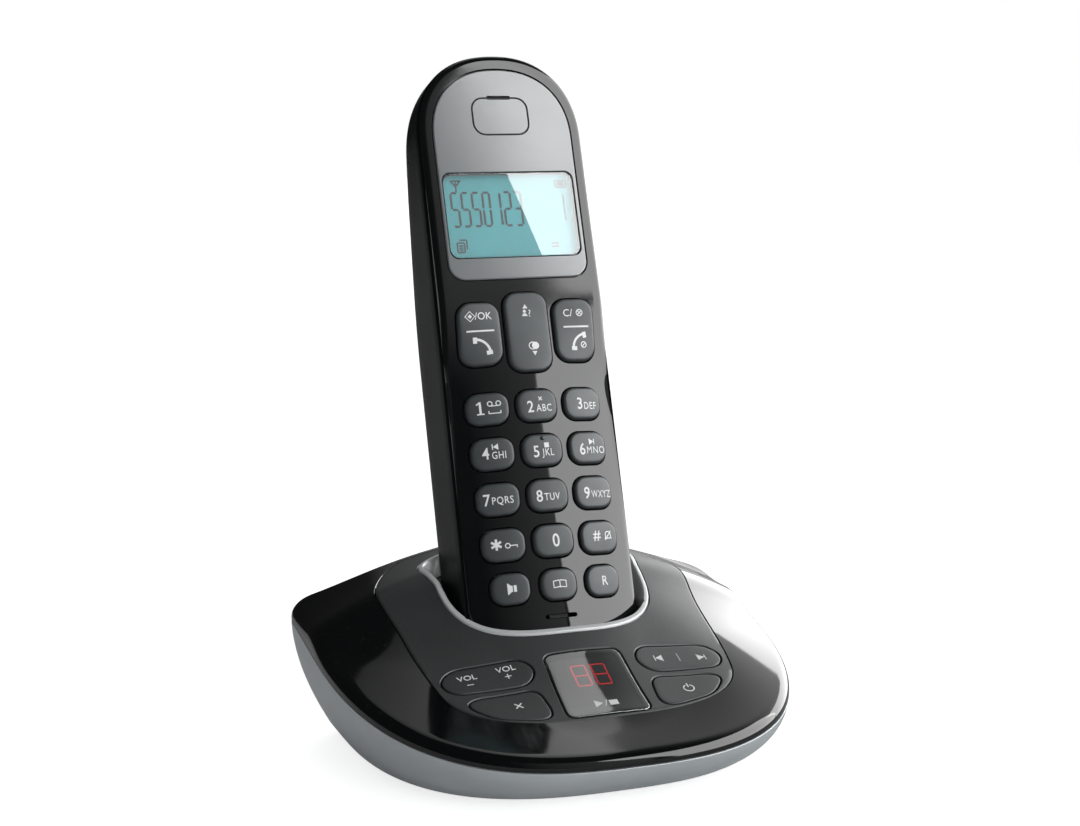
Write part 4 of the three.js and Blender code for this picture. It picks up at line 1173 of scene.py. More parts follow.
@dataclass(frozen=True)
class BaseForm:
    """Outlines and surface heights of the base."""

    half_width: float = 61.0
    front_reach: float = 73.9
    back_reach: float = 24.1
    widest_y: float = 2.5
    squareness: float = 2.73
    back_corner: float = 7.2
    seam_front: float = 12.1
    seam_rise: float = 21.7
    seam_sag: float = 2.7
    case_side_inset: float = 9.5
    case_front_inset: float = 13.6
    case_bulge: float = 1.82
    foot_proud: float = 1.2
    panel_tilt: float = math.radians(28.2)
    panel_top_y: float = -34.1
    panel_top_z: float = 30.4
    crest_height: float = 48.6
    crest_fall_share: float = 0.07
    crest_blend: float = 3.0
    crown_drop: float = 7.7
    band_height: float = 3.0
    skirt_slope_share: float = 0.27
    skirt_side_share: float = 0.1
    skirt_core_share: float = 0.26
    skirt_fade_y: float = 20.0
    skirt_fade_length: float = 30.0
    skirt_fade_low: float = -0.15
    skirt_blend: float = 2.5
    panel_half_width: float = 41.3
    panel_front_y: float = -55.6
    panel_back_y: float = 23.6
    ring_half_width: float = 28.6
    ring_front: float = 23.8
    ring_back: float = 22.0
    ring_middle_y: float = -4.0
    ring_front_power: float = 2.6
    ring_back_power: float = 3.2
    ring_spread_share: float = 0.18

    @property
    def front_y(self) -> float:
        """Give the front end of the base."""
        return self.widest_y - self.front_reach

    @property
    def back_y(self) -> float:
        """Give the back end of the base."""
        return self.widest_y + self.back_reach

    @property
    def middle(self) -> Vector:
        """Give the middle of the cradle, which headings are taken from."""
        return Vector((0.0, self.ring_middle_y))

    def seam(self, spot: Vector) -> float:
        """Find the height of the seam between case and cover."""
        share = (spot.y - self.front_y) / (self.back_y - self.front_y)
        return self.seam_front + self.seam_rise * share - self.seam_sag * share * share

    def skirt(self, spot: Vector) -> float:
        """Find the height of the gentle slope that rises from the cover's edge.

        Args:
            spot: Where on the base.

        Returns:
            The height above the table.
        """
        forward = max(self.widest_y - spot.y, 0.0) / self.front_reach
        away = max(abs(spot.x), WELD)
        power = self.squareness
        level = ((away / self.half_width) ** power + forward**power) ** (1 / power)
        edge_x = away / level
        edge_y = self.widest_y + (spot.y - self.widest_y) / level if spot.y < self.widest_y else spot.y
        reach = math.hypot(edge_x, min(edge_y - self.widest_y, 0.0))
        fade = clamp((self.skirt_fade_y - spot.y) / self.skirt_fade_length, self.skirt_fade_low)
        slope = self.skirt_slope_share + self.skirt_side_share * fade * (edge_x / self.half_width) ** 2
        rise = 1 - max(level, self.skirt_core_share)
        return self.seam(Vector((edge_x, edge_y))) + self.band_height + slope * rise * reach

    def height(self, spot: Vector) -> float:
        """Find the height of the cover's outer surface.

        Args:
            spot: Where on the base.

        Returns:
            The height above the table.
        """
        plane = self.panel_top_z + math.tan(self.panel_tilt) * (spot.y - self.panel_top_y)
        crest = smooth_min(plane, self.crest_height - self.crest_fall_share * spot.y, self.crest_blend)
        mound = crest - self.crown_drop * (spot.x / self.panel_half_width) ** 2
        return smooth_max(mound, self.skirt(spot), self.skirt_blend)

    def edge_loop(self) -> Loop:
        """Trace the base's outline."""
        curve = [
            Vector((self.half_width * point.x, self.widest_y - self.front_reach * point.y))
            for point in quarter(self.squareness, 160)
        ]
        corner = Vector((self.half_width, self.back_y))
        turn = [corner + Vector((point.y - 1, point.x - 1)) * self.back_corner for point in quarter(2, 14)]
        side = line_to(curve, turn[0], 8)[:-1]
        return Loop(mirrored([*curve, *side, *turn, *line_to(turn, (0.0, self.back_y), 24)]), self.middle)

    def panel_loop(self) -> Loop:
        """Trace the control panel's outline."""
        length = self.panel_back_y - self.panel_front_y
        places = [
            Vector((across * self.panel_half_width, self.panel_front_y + along * length))
            for across, along in PANEL_OUTLINE_SHARES
        ]
        curve = spline_through(places, 10)
        return Loop(mirrored([*curve, *line_to(curve, (0.0, curve[-1].y), 12)]), self.middle)

    def ring_loop(self) -> Loop:
        """Trace the cradle ring's outline, which spreads towards its back."""
        half, spread = self.ring_half_width, self.ring_spread_share * self.ring_back
        front = [
            Vector((half * point.x, self.ring_middle_y - self.ring_front * point.y))
            for point in quarter(self.ring_front_power, 90)
        ]
        back = [
            Vector(((half + spread * point.x) * point.y, self.ring_middle_y + self.ring_back * point.x))
            for point in quarter(self.ring_back_power, 90)
        ]
        return Loop(mirrored([*front[:-1], *back]), self.middle)

    def case_side(self, spot: Vector, z: float) -> Vector:
        """Place a spot at a height, drawn in towards the bottom as the bowed side of the case is.

        Args:
            spot: The spot, as it lies at the seam.
            z: The height.

        Returns:
            The point.
        """
        rise = clamp((z - self.foot_proud) / (self.seam(spot) - self.foot_proud))
        pull = (1 - rise) ** self.case_bulge
        offset = spot.y - self.widest_y
        front = self.case_front_inset / self.front_reach
        share = front if offset < 0 else self.case_side_inset / self.back_reach
        across = spot.x * (1 - self.case_side_inset * pull / self.half_width)
        return Vector((across, self.widest_y + offset * (1 - share * pull), z))


# Half outline of the control panel from front to back: across and along
PANEL_OUTLINE_SHARES = (
    (0, 0), (0.25, 0.004), (0.5, 0.018), (0.69, 0.045), (0.83, 0.09), (0.915, 0.15), (0.955, 0.24),
    (0.985, 0.38), (1.005, 0.54), (1.04, 0.68), (1.02, 0.76), (0.94, 0.855), (0.85, 0.925), (0.73, 0.985),
)
# Corners of the left-hand keys: across the panel and down the display key
ROCKER_KEY_SHARES = (
    (0.835, -0.076), (0.925, 0.114), (0.86, 0.348), (0.402, 0.367), (0.322, 0.176), (0.387, -0.033),
)
LOWER_KEY_SHARES = (
    (0.366, 0.462), (0.763, 0.476), (0.828, 0.576), (0.702, 0.852), (0.412, 0.971), (0.339, 0.886),
)


@dataclass
class BaseShells(SubAssembly):
    """The lower case, the cover, the control panel and the cradle ring."""

    form: BaseForm
    around: int = 264
    around_key: int = 96
    wall: float = 2.0
    cover_wall: float = 2.6
    edge_round: float = 2.4
    edge_drop_share: float = 0.9
    foot_round: float = 1.7
    lip_ease: float = 0.12
    floor_top: float = 3.6
    panel_thick: float = 1.1
    flare_top: float = 0.02
    ledge_thick: float = 2.6
    window_margin: float = 0.9
    ring_lip: float = 1.3
    ring_funnel: float = 3.6
    ring_proud: float = 0.3
    ring_depth: float = 5.0
    ring_ease: float = 0.25
    ring_waist: float = 1.0
    ring_corner: float = 0.22
    ring_corner_bow: float = 0.07
    ring_crown_inset: float = 0.7
    ring_crown_rise: float = 0.03
    well_clearance: float = 1.2
    foot_places: tuple[tuple[float, float], ...] = ((-30, -42), (30, -42), (-36, 8), (36, 8))
    foot_radius: float = 5.0
    foot_pocket: float = 0.8
    screw_places: tuple[tuple[float, float], ...] = ((-43, -30), (43, -30), (-46, 13), (46, 13))
    screw_head: float = 2.6
    screw_shank: float = 1.3
    screw_recess: float = 1.8
    speaker: tuple[float, float] = (-38.5, -5.0)
    grille_pitch: float = 4.0
    slot_width: float = 1.6
    slot_half: float = 5.5
    slots: int = 4
    socket_x: float = 13.0
    socket_z: float = 14.0
    socket_half_width: float = 6.5
    socket_half_height: float = 5.5
    socket_front: float = 9.3
    loops: dict[str, Loop] = field(default_factory=dict)

    def __post_init__(self) -> None:
        """Trace the outlines once."""
        form = self.form
        self.loops = {"edge": form.edge_loop(), "panel": form.panel_loop(), "ring": form.ring_loop()}

    def on_cover(self, spot: Vector, depth: float = 0.0) -> Vector:
        """Find the point that lies a depth below the cover's surface, straight under a spot."""
        return raised(spot, self.form.height(spot) - depth)

    def risen(self, spot: Vector, rise: float) -> Vector:
        """Find the point that stands over a spot of the cover, square to the panel."""
        tilt = self.form.panel_tilt
        return self.on_cover(spot) + Vector((0.0, -math.sin(tilt), math.cos(tilt))) * rise

    def across(
        self, start: tuple[str, float], end: tuple[str, float], steps: Sequence[float], depth: float
    ) -> list[Ring]:
        """Make rings between two outlines.

        Args:
            start: The first outline and its inset.
            end: The second outline and its inset.
            steps: How far each ring lies from the first to the second, as a share.
            depth: How far the rings lie below the cover's surface.

        Returns:
            The rings.
        """
        near, far = self.loops[start[0]], self.loops[end[0]]
        return [
            lambda h, share=share: self.on_cover(mix(near.at(h, start[1]), far.at(h, end[1]), share), depth)
            for share in steps
        ]

    def build(self, key_outlines: Sequence[Sequence[Vector]]) -> None:
        """Build the four shells.

        Args:
            key_outlines: Outlines of the keys that the panel has holes for.
        """
        self.build_case()
        self.build_cover(key_outlines)
        self.build_panel(key_outlines)
        self.build_ring()

    def build_case(self) -> None:
        """Model the bowed lower case with its grille, pockets and doorways."""
        form, low = self.form, self.form.foot_proud
        seam = shifted(form.seam, -FINE_GAP / 2)
        case = Stack(self.loops["edge"], form.case_side)
        case.fill(self.wall, low, (1.0, 0.7, 0.4, 0.1))
        for lift, inset in rounding(self.foot_round, ROUND_STEPS):
            case.row(inset, low, lift)
        case.wall(0.0, lambda spot: low + self.foot_round, seam, shares(18)[1:-1])
        case.row(0.0, seam, -self.lip_ease)
        case.row(self.lip_ease, seam)
        case.wall(self.wall, seam, lambda spot: self.floor_top, shares(6))
        case.fill(self.wall, self.floor_top, (0.1, 0.5, 1.0))
        skin = cut(case.skin(self.around), self.case_cutters())
        self.settle(skin, "base_case_shell", CASE_SILVER, ["base_case"])

    def case_cutters(self) -> list[Skin]:
        """Make the solids that the lower case's holes are cut with."""
        form = self.form
        deep = self.floor_top + OVERRUN
        pocket, radius = form.foot_proud + self.foot_pocket, self.foot_radius + FINE_GAP
        head, hole = self.screw_head + FINE_GAP, self.screw_shank + FINE_GAP
        top = form.foot_proud + self.screw_recess
        foot = [(0, -OVERRUN), (radius, -OVERRUN), (radius, pocket), (0, pocket)]
        screw = [(0, -OVERRUN), (head, -OVERRUN), (head, top), (hole, top), (hole, deep), (0, deep)]
        cutters = [turned(foot, 40, (*place, 0.0)) for place in self.foot_places]
        cutters += [turned(screw, 32, (*place, 0.0)) for place in self.screw_places]
        for index in range(self.slots):
            x = self.speaker[0] + (index - (self.slots - 1) / 2) * self.grille_pitch
            half = self.slot_width / 2
            outline = box_outline(half, self.slot_half, half - WELD, (x, self.speaker[1]))
            cutters.append(prism(outline, raised, -OVERRUN, deep))
        half, tall = self.socket_half_width + FINE_GAP, self.socket_half_height + FINE_GAP
        for x in (-self.socket_x, self.socket_x):
            low = (x - half, self.socket_front, self.socket_z - tall)
            cutters.append(blocked(low, (x + half, form.back_y + OVERRUN, self.socket_z + tall)))
        return cutters

    def key_cutter(self, outline: Sequence[Vector], steps: Sequence[tuple[float, float]]) -> Skin:
        """Make a cutter for a key hole, square to the panel.

        Args:
            outline: The key's outline, seen from above.
            steps: For each row of the cutter, how far it stands outside the key and above the cover.

        Returns:
            The closed skin.
        """
        cutter = Stack(Loop(outline), self.risen)
        for margin, rise in steps:
            cutter.row(-margin, rise)
        return cutter.skin(self.around_key)

    def build_cover(self, key_outlines: Sequence[Sequence[Vector]]) -> None:
        """Model the gloss cover: a ledge under the panel, the sloping top, the round edge and the walls.

        Args:
            key_outlines: Outlines of the keys, which reach through the ledge.
        """
        form, wall, ease = self.form, self.cover_wall, self.lip_ease
        ring, panel, lip = ("ring", -FINE_GAP), ("panel", -FINE_GAP), ("panel", -FINE_GAP - ease)
        edge, inner, skirt = ("edge", self.edge_round), ("edge", wall + self.edge_round), ("panel", -wall)
        ledge = self.panel_thick + FINE_GAP
        drop = self.edge_round * self.edge_drop_share
        seam = shifted(form.seam, FINE_GAP / 2)
        cover = Stack(self.loops["edge"], raised)
        cover.rings += self.across(ring, panel, shares(4), ledge)
        cover.rings += self.across(panel, panel, [0.0], ease)
        cover.rings += self.across(lip, edge, shares(18), 0.0)
        for lowered, inset in rounding(self.edge_round, 8)[1:]:
            cover.row(inset, form.height, -lowered * self.edge_drop_share)
        cover.wall(0.0, shifted(form.height, -drop), shifted(seam, ease), shares(4)[1:])
        cover.row(ease, seam)
        cover.row(wall, seam)
        cover.row(wall, lambda spot: max(form.height(spot) - drop - wall, seam(spot)))
        cover.rings += self.across(inner, skirt, shares(8), wall)
        cover.rings += self.across(panel, ring, shares(3), ledge + self.ledge_thick)
        cover.rings += self.across(ring, panel, [0.0], ledge)
        margin, bottom = self.window_margin, -ledge - 3 * self.ledge_thick
        cutters = [self.key_cutter(outline, ((margin, bottom), (margin, -ease))) for outline in key_outlines]
        self.settle(cut(cover.skin(self.around), cutters), "base_cover_shell", COVER_BLACK, ["base_cover"])

    def build_panel(self, key_outlines: Sequence[Sequence[Vector]]) -> None:
        """Model the textured control panel, with key holes whose upper edges are eased.

        Args:
            key_outlines: Outlines of the keys.
        """
        ease, thick = self.lip_ease, self.panel_thick
        ring, panel = ("ring", -FINE_GAP), ("panel", 0.0)
        inlay = Stack(self.loops["edge"], raised)
        inlay.rings += self.across(ring, panel, [0.0], thick)
        inlay.rings += self.across(ring, panel, [0.0], ease)
        inlay.rings += self.across(("ring", -FINE_GAP - ease), ("panel", ease), shares(26), 0.0)
        inlay.rings += self.across(ring, panel, [1.0], ease)
        inlay.rings += self.across(panel, ring, shares(6), thick)
        flared = KEY_GAP + 2 * ease
        low = ((KEY_GAP, -thick - OVERRUN), (KEY_GAP, -2 * ease))
        steps = (*low, (flared, self.flare_top), (flared, OVERRUN))
        cutters = [self.key_cutter(outline, steps) for outline in key_outlines]
        skin = cut(inlay.skin(self.around), cutters)
        self.settle(skin, "control_panel_inlay", PANEL_DARK, ["control_panel"])

    def build_ring(self) -> None:
        """Model the bright ring: an upright wall, a round lip and a funnel that clears the handset."""
        top, ease, lip = -self.ring_proud, self.ring_ease, self.ring_lip
        corner, bow = self.ring_corner, self.ring_corner_bow
        profile = [
            (0.0, self.ring_depth), (0.0, self.ring_waist), (0.0, top + corner), (bow, top + bow),
            (corner, top), (self.ring_crown_inset, top - self.ring_crown_rise),
            (lip - ease, top), (lip, top + ease),
        ]
        profile += [
            (mix(lip, self.ring_funnel, share), mix(top + ease, self.ring_depth, share))
            for share in shares(8)[1:]
        ]
        trim = Stack(self.loops["edge"], raised)
        trim.rings += [self.ring_row(inset, depth) for inset, depth in [*profile, profile[0]]]
        self.settle(trim.skin(self.around), "cradle_ring_trim", RING_SILVER, ["cradle_ring"])

    def ring_row(self, inset: float, depth: float) -> Ring:
        """Make a row of the cradle ring, held clear of the handset's hollow.

        Args:
            inset: How far the row is drawn inwards where it is clear.
            depth: How far it lies below the cover's surface.

        Returns:
            The ring.
        """

        def place(heading: float) -> Vector:
            """Place a heading, by halving the way to the hollow where the row would reach into it."""
            clear, reach = 0.0, inset
            point = self.on_cover(self.loops["ring"].at(heading, reach), depth)
            if not self.in_hollow(point):
                return point
            for _ in range(BISECTIONS):
                middle = (clear + reach) / 2
                if self.in_hollow(self.on_cover(self.loops["ring"].at(heading, middle), depth)):
                    reach = middle
                else:
                    clear = middle
            return self.on_cover(self.loops["ring"].at(heading, clear), depth)

        return place

    def in_hollow(self, point: Vector) -> bool:
        """Tell whether a point lies in the space that the handset and its clearance take.

        Args:
            point: A point of the base's frame.

        Returns:
            True where it does.
        """
        handset = HandsetForm()
        inside = handset.from_base(point)
        half = handset.half_width + handset.flare + handset.rear_extra + self.well_clearance
        front = handset.crown_drop * (inside.x / half) ** 2 - self.well_clearance
        back = handset.rear_bottom + self.well_clearance
        corner = max(abs(inside.x) - (half - handset.rear_round), 0.0)
        round_off = handset.rear_round - math.sqrt(max(handset.rear_round**2 - corner**2, 0.0))
        return abs(inside.x) < half and front < inside.y < back - round_off


# Handset form


@dataclass(frozen=True)
class HandsetForm:
    """Outlines and depths of the handset."""

    lean: float = math.radians(20.0)
    stand_height: float = 94.6
    top: float = 89.4
    bottom: float = -76.0
    half_width: float = 22.7
    flare: float = 0.5
    rear_extra: float = 0.5
    arch_start: float = 66.0
    arch_power: float = 2.25
    bottom_corner: float = 9.0
    crown_drop: float = 4.3
    crown_start: float = 24.0
    crown_end: float = -4.0
    seam_low: float = 6.2
    seam_high: float = 1.5
    seam_blend: float = 2.0
    seam_run_share: float = 0.17
    edge_round: float = 1.6
    wall: float = 1.8
    rear_round: float = 6.0
    rear_top: float = 12.0
    rear_bottom: float = 30.0
    rear_knee_z: float = 19.0
    rear_knee: float = 27.0
    rear_high_z: float = 60.0
    rear_high: float = 20.5
    rear_soften: float = 9.0
    spine_low: float = -54.0
    spine_high: float = 67.0

    def from_base(self, point: Vector) -> Vector:
        """Turn a point of the base's frame into the handset's frame."""
        return Matrix.Rotation(self.lean, 3, "X") @ (point - Vector((0.0, 0.0, self.stand_height)))

    def width_at(self, z: float) -> float:
        """Find the half width of the straight part at a height."""
        return self.half_width + self.flare * max(self.arch_start - z, 0.0) / (self.arch_start - self.bottom)

    def loop(self) -> Loop:
        """Trace the handset's outline, seen from its front."""
        corner_z = self.bottom + self.bottom_corner
        run = self.width_at(corner_z) - self.bottom_corner
        start = [Vector((0.0, self.bottom))]
        low = [*start, *line_to(start, (run, self.bottom), 10)]
        corner = [
            Vector((run, corner_z)) + Vector((point.x, -point.y)) * self.bottom_corner
            for point in quarter(2, 20)
        ]
        levels = [mix(corner_z, self.arch_start, share) for share in shares(60)]
        side = [Vector((self.width_at(z), z)) for z in levels]
        arch = [
            Vector((self.half_width * point.y, self.arch_start + (self.top - self.arch_start) * point.x))
            for point in quarter(self.arch_power, 120)
        ]
        middle = Vector((0.0, (self.top + self.bottom) / 2))
        return Loop(mirrored([*low[:-1], *corner[:-1], *side[:-1], *arch]), middle)

    def face(self, spot: Vector) -> float:
        """Find the depth of the front face, which is crowned where the keys are."""
        crown = smooth_step((self.crown_start - spot.y) / (self.crown_start - self.crown_end))
        return self.crown_drop * crown * (spot.x / self.half_width) ** 2

    def seam(self, spot: Vector) -> float:
        """Find the depth of the seam between the front and rear covers.

        Args:
            spot: Place across and along the handset.

        Returns:
            The depth.
        """
        share = (self.top - spot.y) / (self.top - self.bottom)
        run = (share - self.seam_run_share) / (1 - self.seam_run_share)
        return smooth_max(mix(self.seam_high, self.seam_low, run), self.seam_high, self.seam_blend)

    def rear_line(self, z: float) -> float:
        """Find the depth of the rear cover's back, before its knees are softened.

        Args:
            z: The height.

        Returns:
            The depth.
        """
        line = (
            (self.bottom, self.rear_bottom), (self.rear_knee_z, self.rear_knee),
            (self.rear_high_z, self.rear_high), (self.top, self.rear_top),
        )
        for (low, deep), (high, shallow) in pairwise(line):
            if z <= high:
                return mix(deep, shallow, clamp((z - low) / (high - low)))
        return self.rear_top

    def rear(self, spot: Vector) -> float:
        """Find the depth of the rear cover's back, softened at its knees.

        Args:
            spot: Place across and along the handset.

        Returns:
            The depth.
        """
        reach = self.rear_soften * clamp(min(spot.y - self.bottom, self.top - spot.y) / self.rear_soften)
        samples = [self.rear_line(spot.y + reach * (2 * share - 1)) for share in shares(6)]
        return sum(samples) / len(samples)

    def spine(self, spot: Vector) -> Vector:
        """Find the point of the middle line that an outline point faces."""
        return Vector((0.0, clamp(spot.y, self.spine_low, self.spine_high)))


@dataclass(frozen=True)
class KeySpec:
    """Place and size of a handset key."""

    name: str
    x: float
    z: float
    half_width: float
    half_height: float
    corner: float
    marks: tuple[Mark, ...] = ()

    def outline(self, grown: float = 0.0) -> list[Vector]:
        """Trace the key's outline."""
        half, tall = self.half_width + grown, self.half_height + grown
        return box_outline(half, tall, self.corner + grown, (self.x, self.z))


DIGIT = 3.1
TALL_DIGIT = 3.5
LETTERS = 1.95
SIGN = 1.3
STROKE = 0.26
FIGURE_BOLD = 0.05
LETTER_BOLD = 0.012


def figure(text: str, across: float, along: float, height: float = DIGIT) -> Glyph:
    """Make a key's large bold figure."""
    return Glyph(text, across, along, height, FIGURE_BOLD, squeeze=0.86)


def letters(text: str, across: float, along: float, squeeze: float = 0.78) -> Glyph:
    """Make a key's small letters. An M keeps its plain weight, because a bolder one fills up."""
    bold = 0.0 if "M" in text else LETTER_BOLD
    return Glyph(text, across, along, LETTERS, bold, squeeze=squeeze, spacing=1.12)


def crossed(across: float, along: float, size: float) -> tuple[Mark, ...]:
    """Draw a cross of two strokes."""
    return Bar(across, along, size, STROKE, 45.0), Bar(across, along, size, STROKE, -45.0)


def tape(across: float, along: float) -> tuple[Mark, ...]:
    """Draw the message sign: two reels with tape between them, over a tray."""
    reel, apart, tray, lip = 0.6, 1.1, 3.1, 0.8
    return (
        Arc(across - apart, along + 1.2, reel, STROKE), Arc(across + apart, along + 1.2, reel, STROKE),
        Bar(across, along + 0.6, 2 * apart, STROKE), Bar(across, along - 1.35, tray, STROKE),
        Bar(across - tray / 2, along - 1.05, STROKE, lip), Bar(across + tray / 2, along - 1.05, STROKE, lip),
    )


def person(across: float, along: float) -> tuple[Mark, ...]:
    """Draw the list sign: a head over shoulders."""
    head = Arc(across, along + 0.55, 0.22, 0.42)
    return head, Bar(across, along - 0.3, 1.0, 0.5), Bar(across, along - 0.6, 1.5, 0.3)


def open_book() -> tuple[Mark, ...]:
    """Draw the phone book sign: two open pages."""
    pages = []
    for side in (-1, 1):
        pages += [
            Bar(side * 0.9, 0.95, 1.6, STROKE, -8 * side), Bar(side * 0.9, -0.75, 1.6, STROKE, -8 * side),
            Bar(side * 1.72, 0.02, STROKE, 1.85),
        ]
    return (*pages, Bar(0.0, 0.05, STROKE, 1.9))


def small_speaker() -> tuple[Mark, ...]:
    """Draw the loudspeaker sign: a horn before its box."""
    return (
        Bar(-0.95, 0.0, 0.34, 2.9), Bar(-0.65, 0.0, 0.34, 2.4), Bar(-0.35, 0.0, 0.34, 1.9),
        Bar(0.0, 0.0, 0.4, 1.6), Bar(0.85, 0.0, 0.75, 1.7),
    )


def skip_sign(across: float, along: float, side: int, size: float) -> tuple[Mark, ...]:
    """Draw a skip sign: a triangle that points at a bar."""
    arrow = "▶" if side > 0 else "◀"
    return Glyph(arrow, across, along, size), Bar(across + side * size * 0.62, along, STROKE, size * 1.1)


KEY_ROWS = (
    (
        ("key_1", (Bar(-2.1, 0.2, 0.58, 3.4), Bar(-2.1, -1.35, 1.9, 0.36), Bar(-2.6, 1.45, 0.36, 1.1, -55),
                   *tape(1.55, 0.0))),
        ("key_2", (figure("2", -2.1, -0.35), letters("ABC", 1.6, -0.85), *crossed(0.8, 1.6, SIGN))),
        ("key_3", (figure("3", -1.0, -0.05), letters("DEF", 2.1, -0.7))),
    ),
    (
        ("key_4", (figure("4", -2.1, 0.2), letters("GHI", 1.3, -0.45), *skip_sign(0.6, 1.75, -1, SIGN))),
        ("key_5", (figure("5", -2.0, -0.4), letters("JKL", 1.2, -1.0), Bar(1.0, 1.15, SIGN, SIGN))),
        ("key_6", (
            figure("6", -1.9, -0.35), letters("MNO", 2.15, -0.7, 0.84), *skip_sign(1.0, 1.5, 1, SIGN),
        )),
    ),
    (
        ("key_7", (figure("7", -3.1, -0.05), letters("PQRS", 0.9, -0.5, 0.82))),
        ("key_8", (figure("8", -2.6, -0.15), letters("TUV", 0.85, -0.5))),
        ("key_9", (figure("9", -2.2, -0.15), letters("WXYZ", 2.0, -0.55, 0.68))),
    ),
    (
        ("key_star", (Glyph("✱", -2.1, 0.2, 3.0), Arc(0.75, -0.3, 0.6, STROKE), Bar(2.3, -0.3, 2.0, STROKE),
                      Bar(3.15, -0.6, STROKE, 0.6))),
        ("key_0", (figure("0", 0.4, 0.0, TALL_DIGIT),)),
        ("key_hash", (Glyph("#", -0.9, 0.3, 2.7, 0.04), Arc(2.5, 0.5, 0.8, STROKE, 0, 180, 10),
                      Bar(1.72, 0.1, STROKE, 0.9), Bar(3.28, 0.1, STROKE, 0.9), Bar(2.5, -0.45, 2.2, STROKE),
                      Bar(2.5, 0.25, STROKE, 3.0, -40))),
    ),
)
LAST_ROW = (
    ("speaker_key", small_speaker()),
    ("phonebook_key", open_book()),
    ("recall_key", (Glyph("R", 0.4, 0.0, 2.5, 0.02, squeeze=0.85),)),
)
TALL_KEYS = (
    ("talk_key", -1, (
        Glyph("◈", -2.5, 4.6, 2.1), Glyph("/OK", 1.1, 4.65, 2.0, LETTER_BOLD, squeeze=0.95),
        Bar(0.0, 0.7, 7.5, 0.45), *receiver(0.4, -3.1, 5.4, -42),
    )),
    ("end_key", 1, (
        Glyph("C/", -1.6, 4.5, 2.0, LETTER_BOLD), Arc(1.7, 4.45, 0.85, STROKE),
        Bar(1.7, 4.45, STROKE, 1.9, 45), Bar(1.7, 4.45, STROKE, 1.9, -45),
        Bar(0.4, 0.75, 7.3, 0.45), *receiver(0.7, -3.0, 5.2, 48),
        Arc(2.2, -4.1, 0.75, STROKE), Bar(2.2, -4.1, STROKE, 1.3, -45),
    )),
)
NAVIGATION_MARKS = (
    Glyph("▲", -0.3, 6.7, 1.1), *person(-0.6, 4.8), Glyph("?", 0.8, 4.8, 1.9, LETTER_BOLD),
    Arc(0.55, -3.95, 0.95, STROKE), Arc(1.35, -3.95, 0.5, 1.0), Glyph("▼", 1.0, -6.0, 1.1),
)


@dataclass(frozen=True)
class KeypadPlan:
    """Places of all the handset's keys."""

    column_pitch: float = 13.2
    row_pitch: float = 11.9
    first_row: float = -7.1
    half_width: float = 5.5
    half_height: float = 4.2
    corner: float = 3.3
    last_row: float = -54.2
    last_pitch: float = 12.7
    last_half_width: float = 4.9
    last_half_height: float = 4.05
    tall_z: float = 12.66
    tall_half_width: float = 5.75
    tall_half_height: float = 8.35
    rocker_half_width: float = 6.05
    rocker_half_height: float = 10.65
    tall_corner: float = 3.8

    def keys(self) -> list[KeySpec]:
        """List every key with its marks."""
        size = (self.half_width, self.half_height, self.corner)
        listed = [
            KeySpec(
                name, (column - 1) * self.column_pitch, self.first_row - row * self.row_pitch, *size, marks
            )
            for row, names in enumerate(KEY_ROWS)
            for column, (name, marks) in enumerate(names)
        ]
        size = (self.last_half_width, self.last_half_height, self.corner)
        listed += [
            KeySpec(name, (column - 1) * self.last_pitch, self.last_row, *size, marks)
            for column, (name, marks) in enumerate(LAST_ROW)
        ]
        size = (self.tall_half_width, self.tall_half_height, self.tall_corner)
        listed += [
            KeySpec(name, side * self.column_pitch, self.tall_z, *size, marks)
            for name, side, marks in TALL_KEYS
        ]
        size = (self.rocker_half_width, self.rocker_half_height, self.tall_corner)
        return [*listed, KeySpec("navigation_key", 0.0, self.tall_z, *size, NAVIGATION_MARKS)]


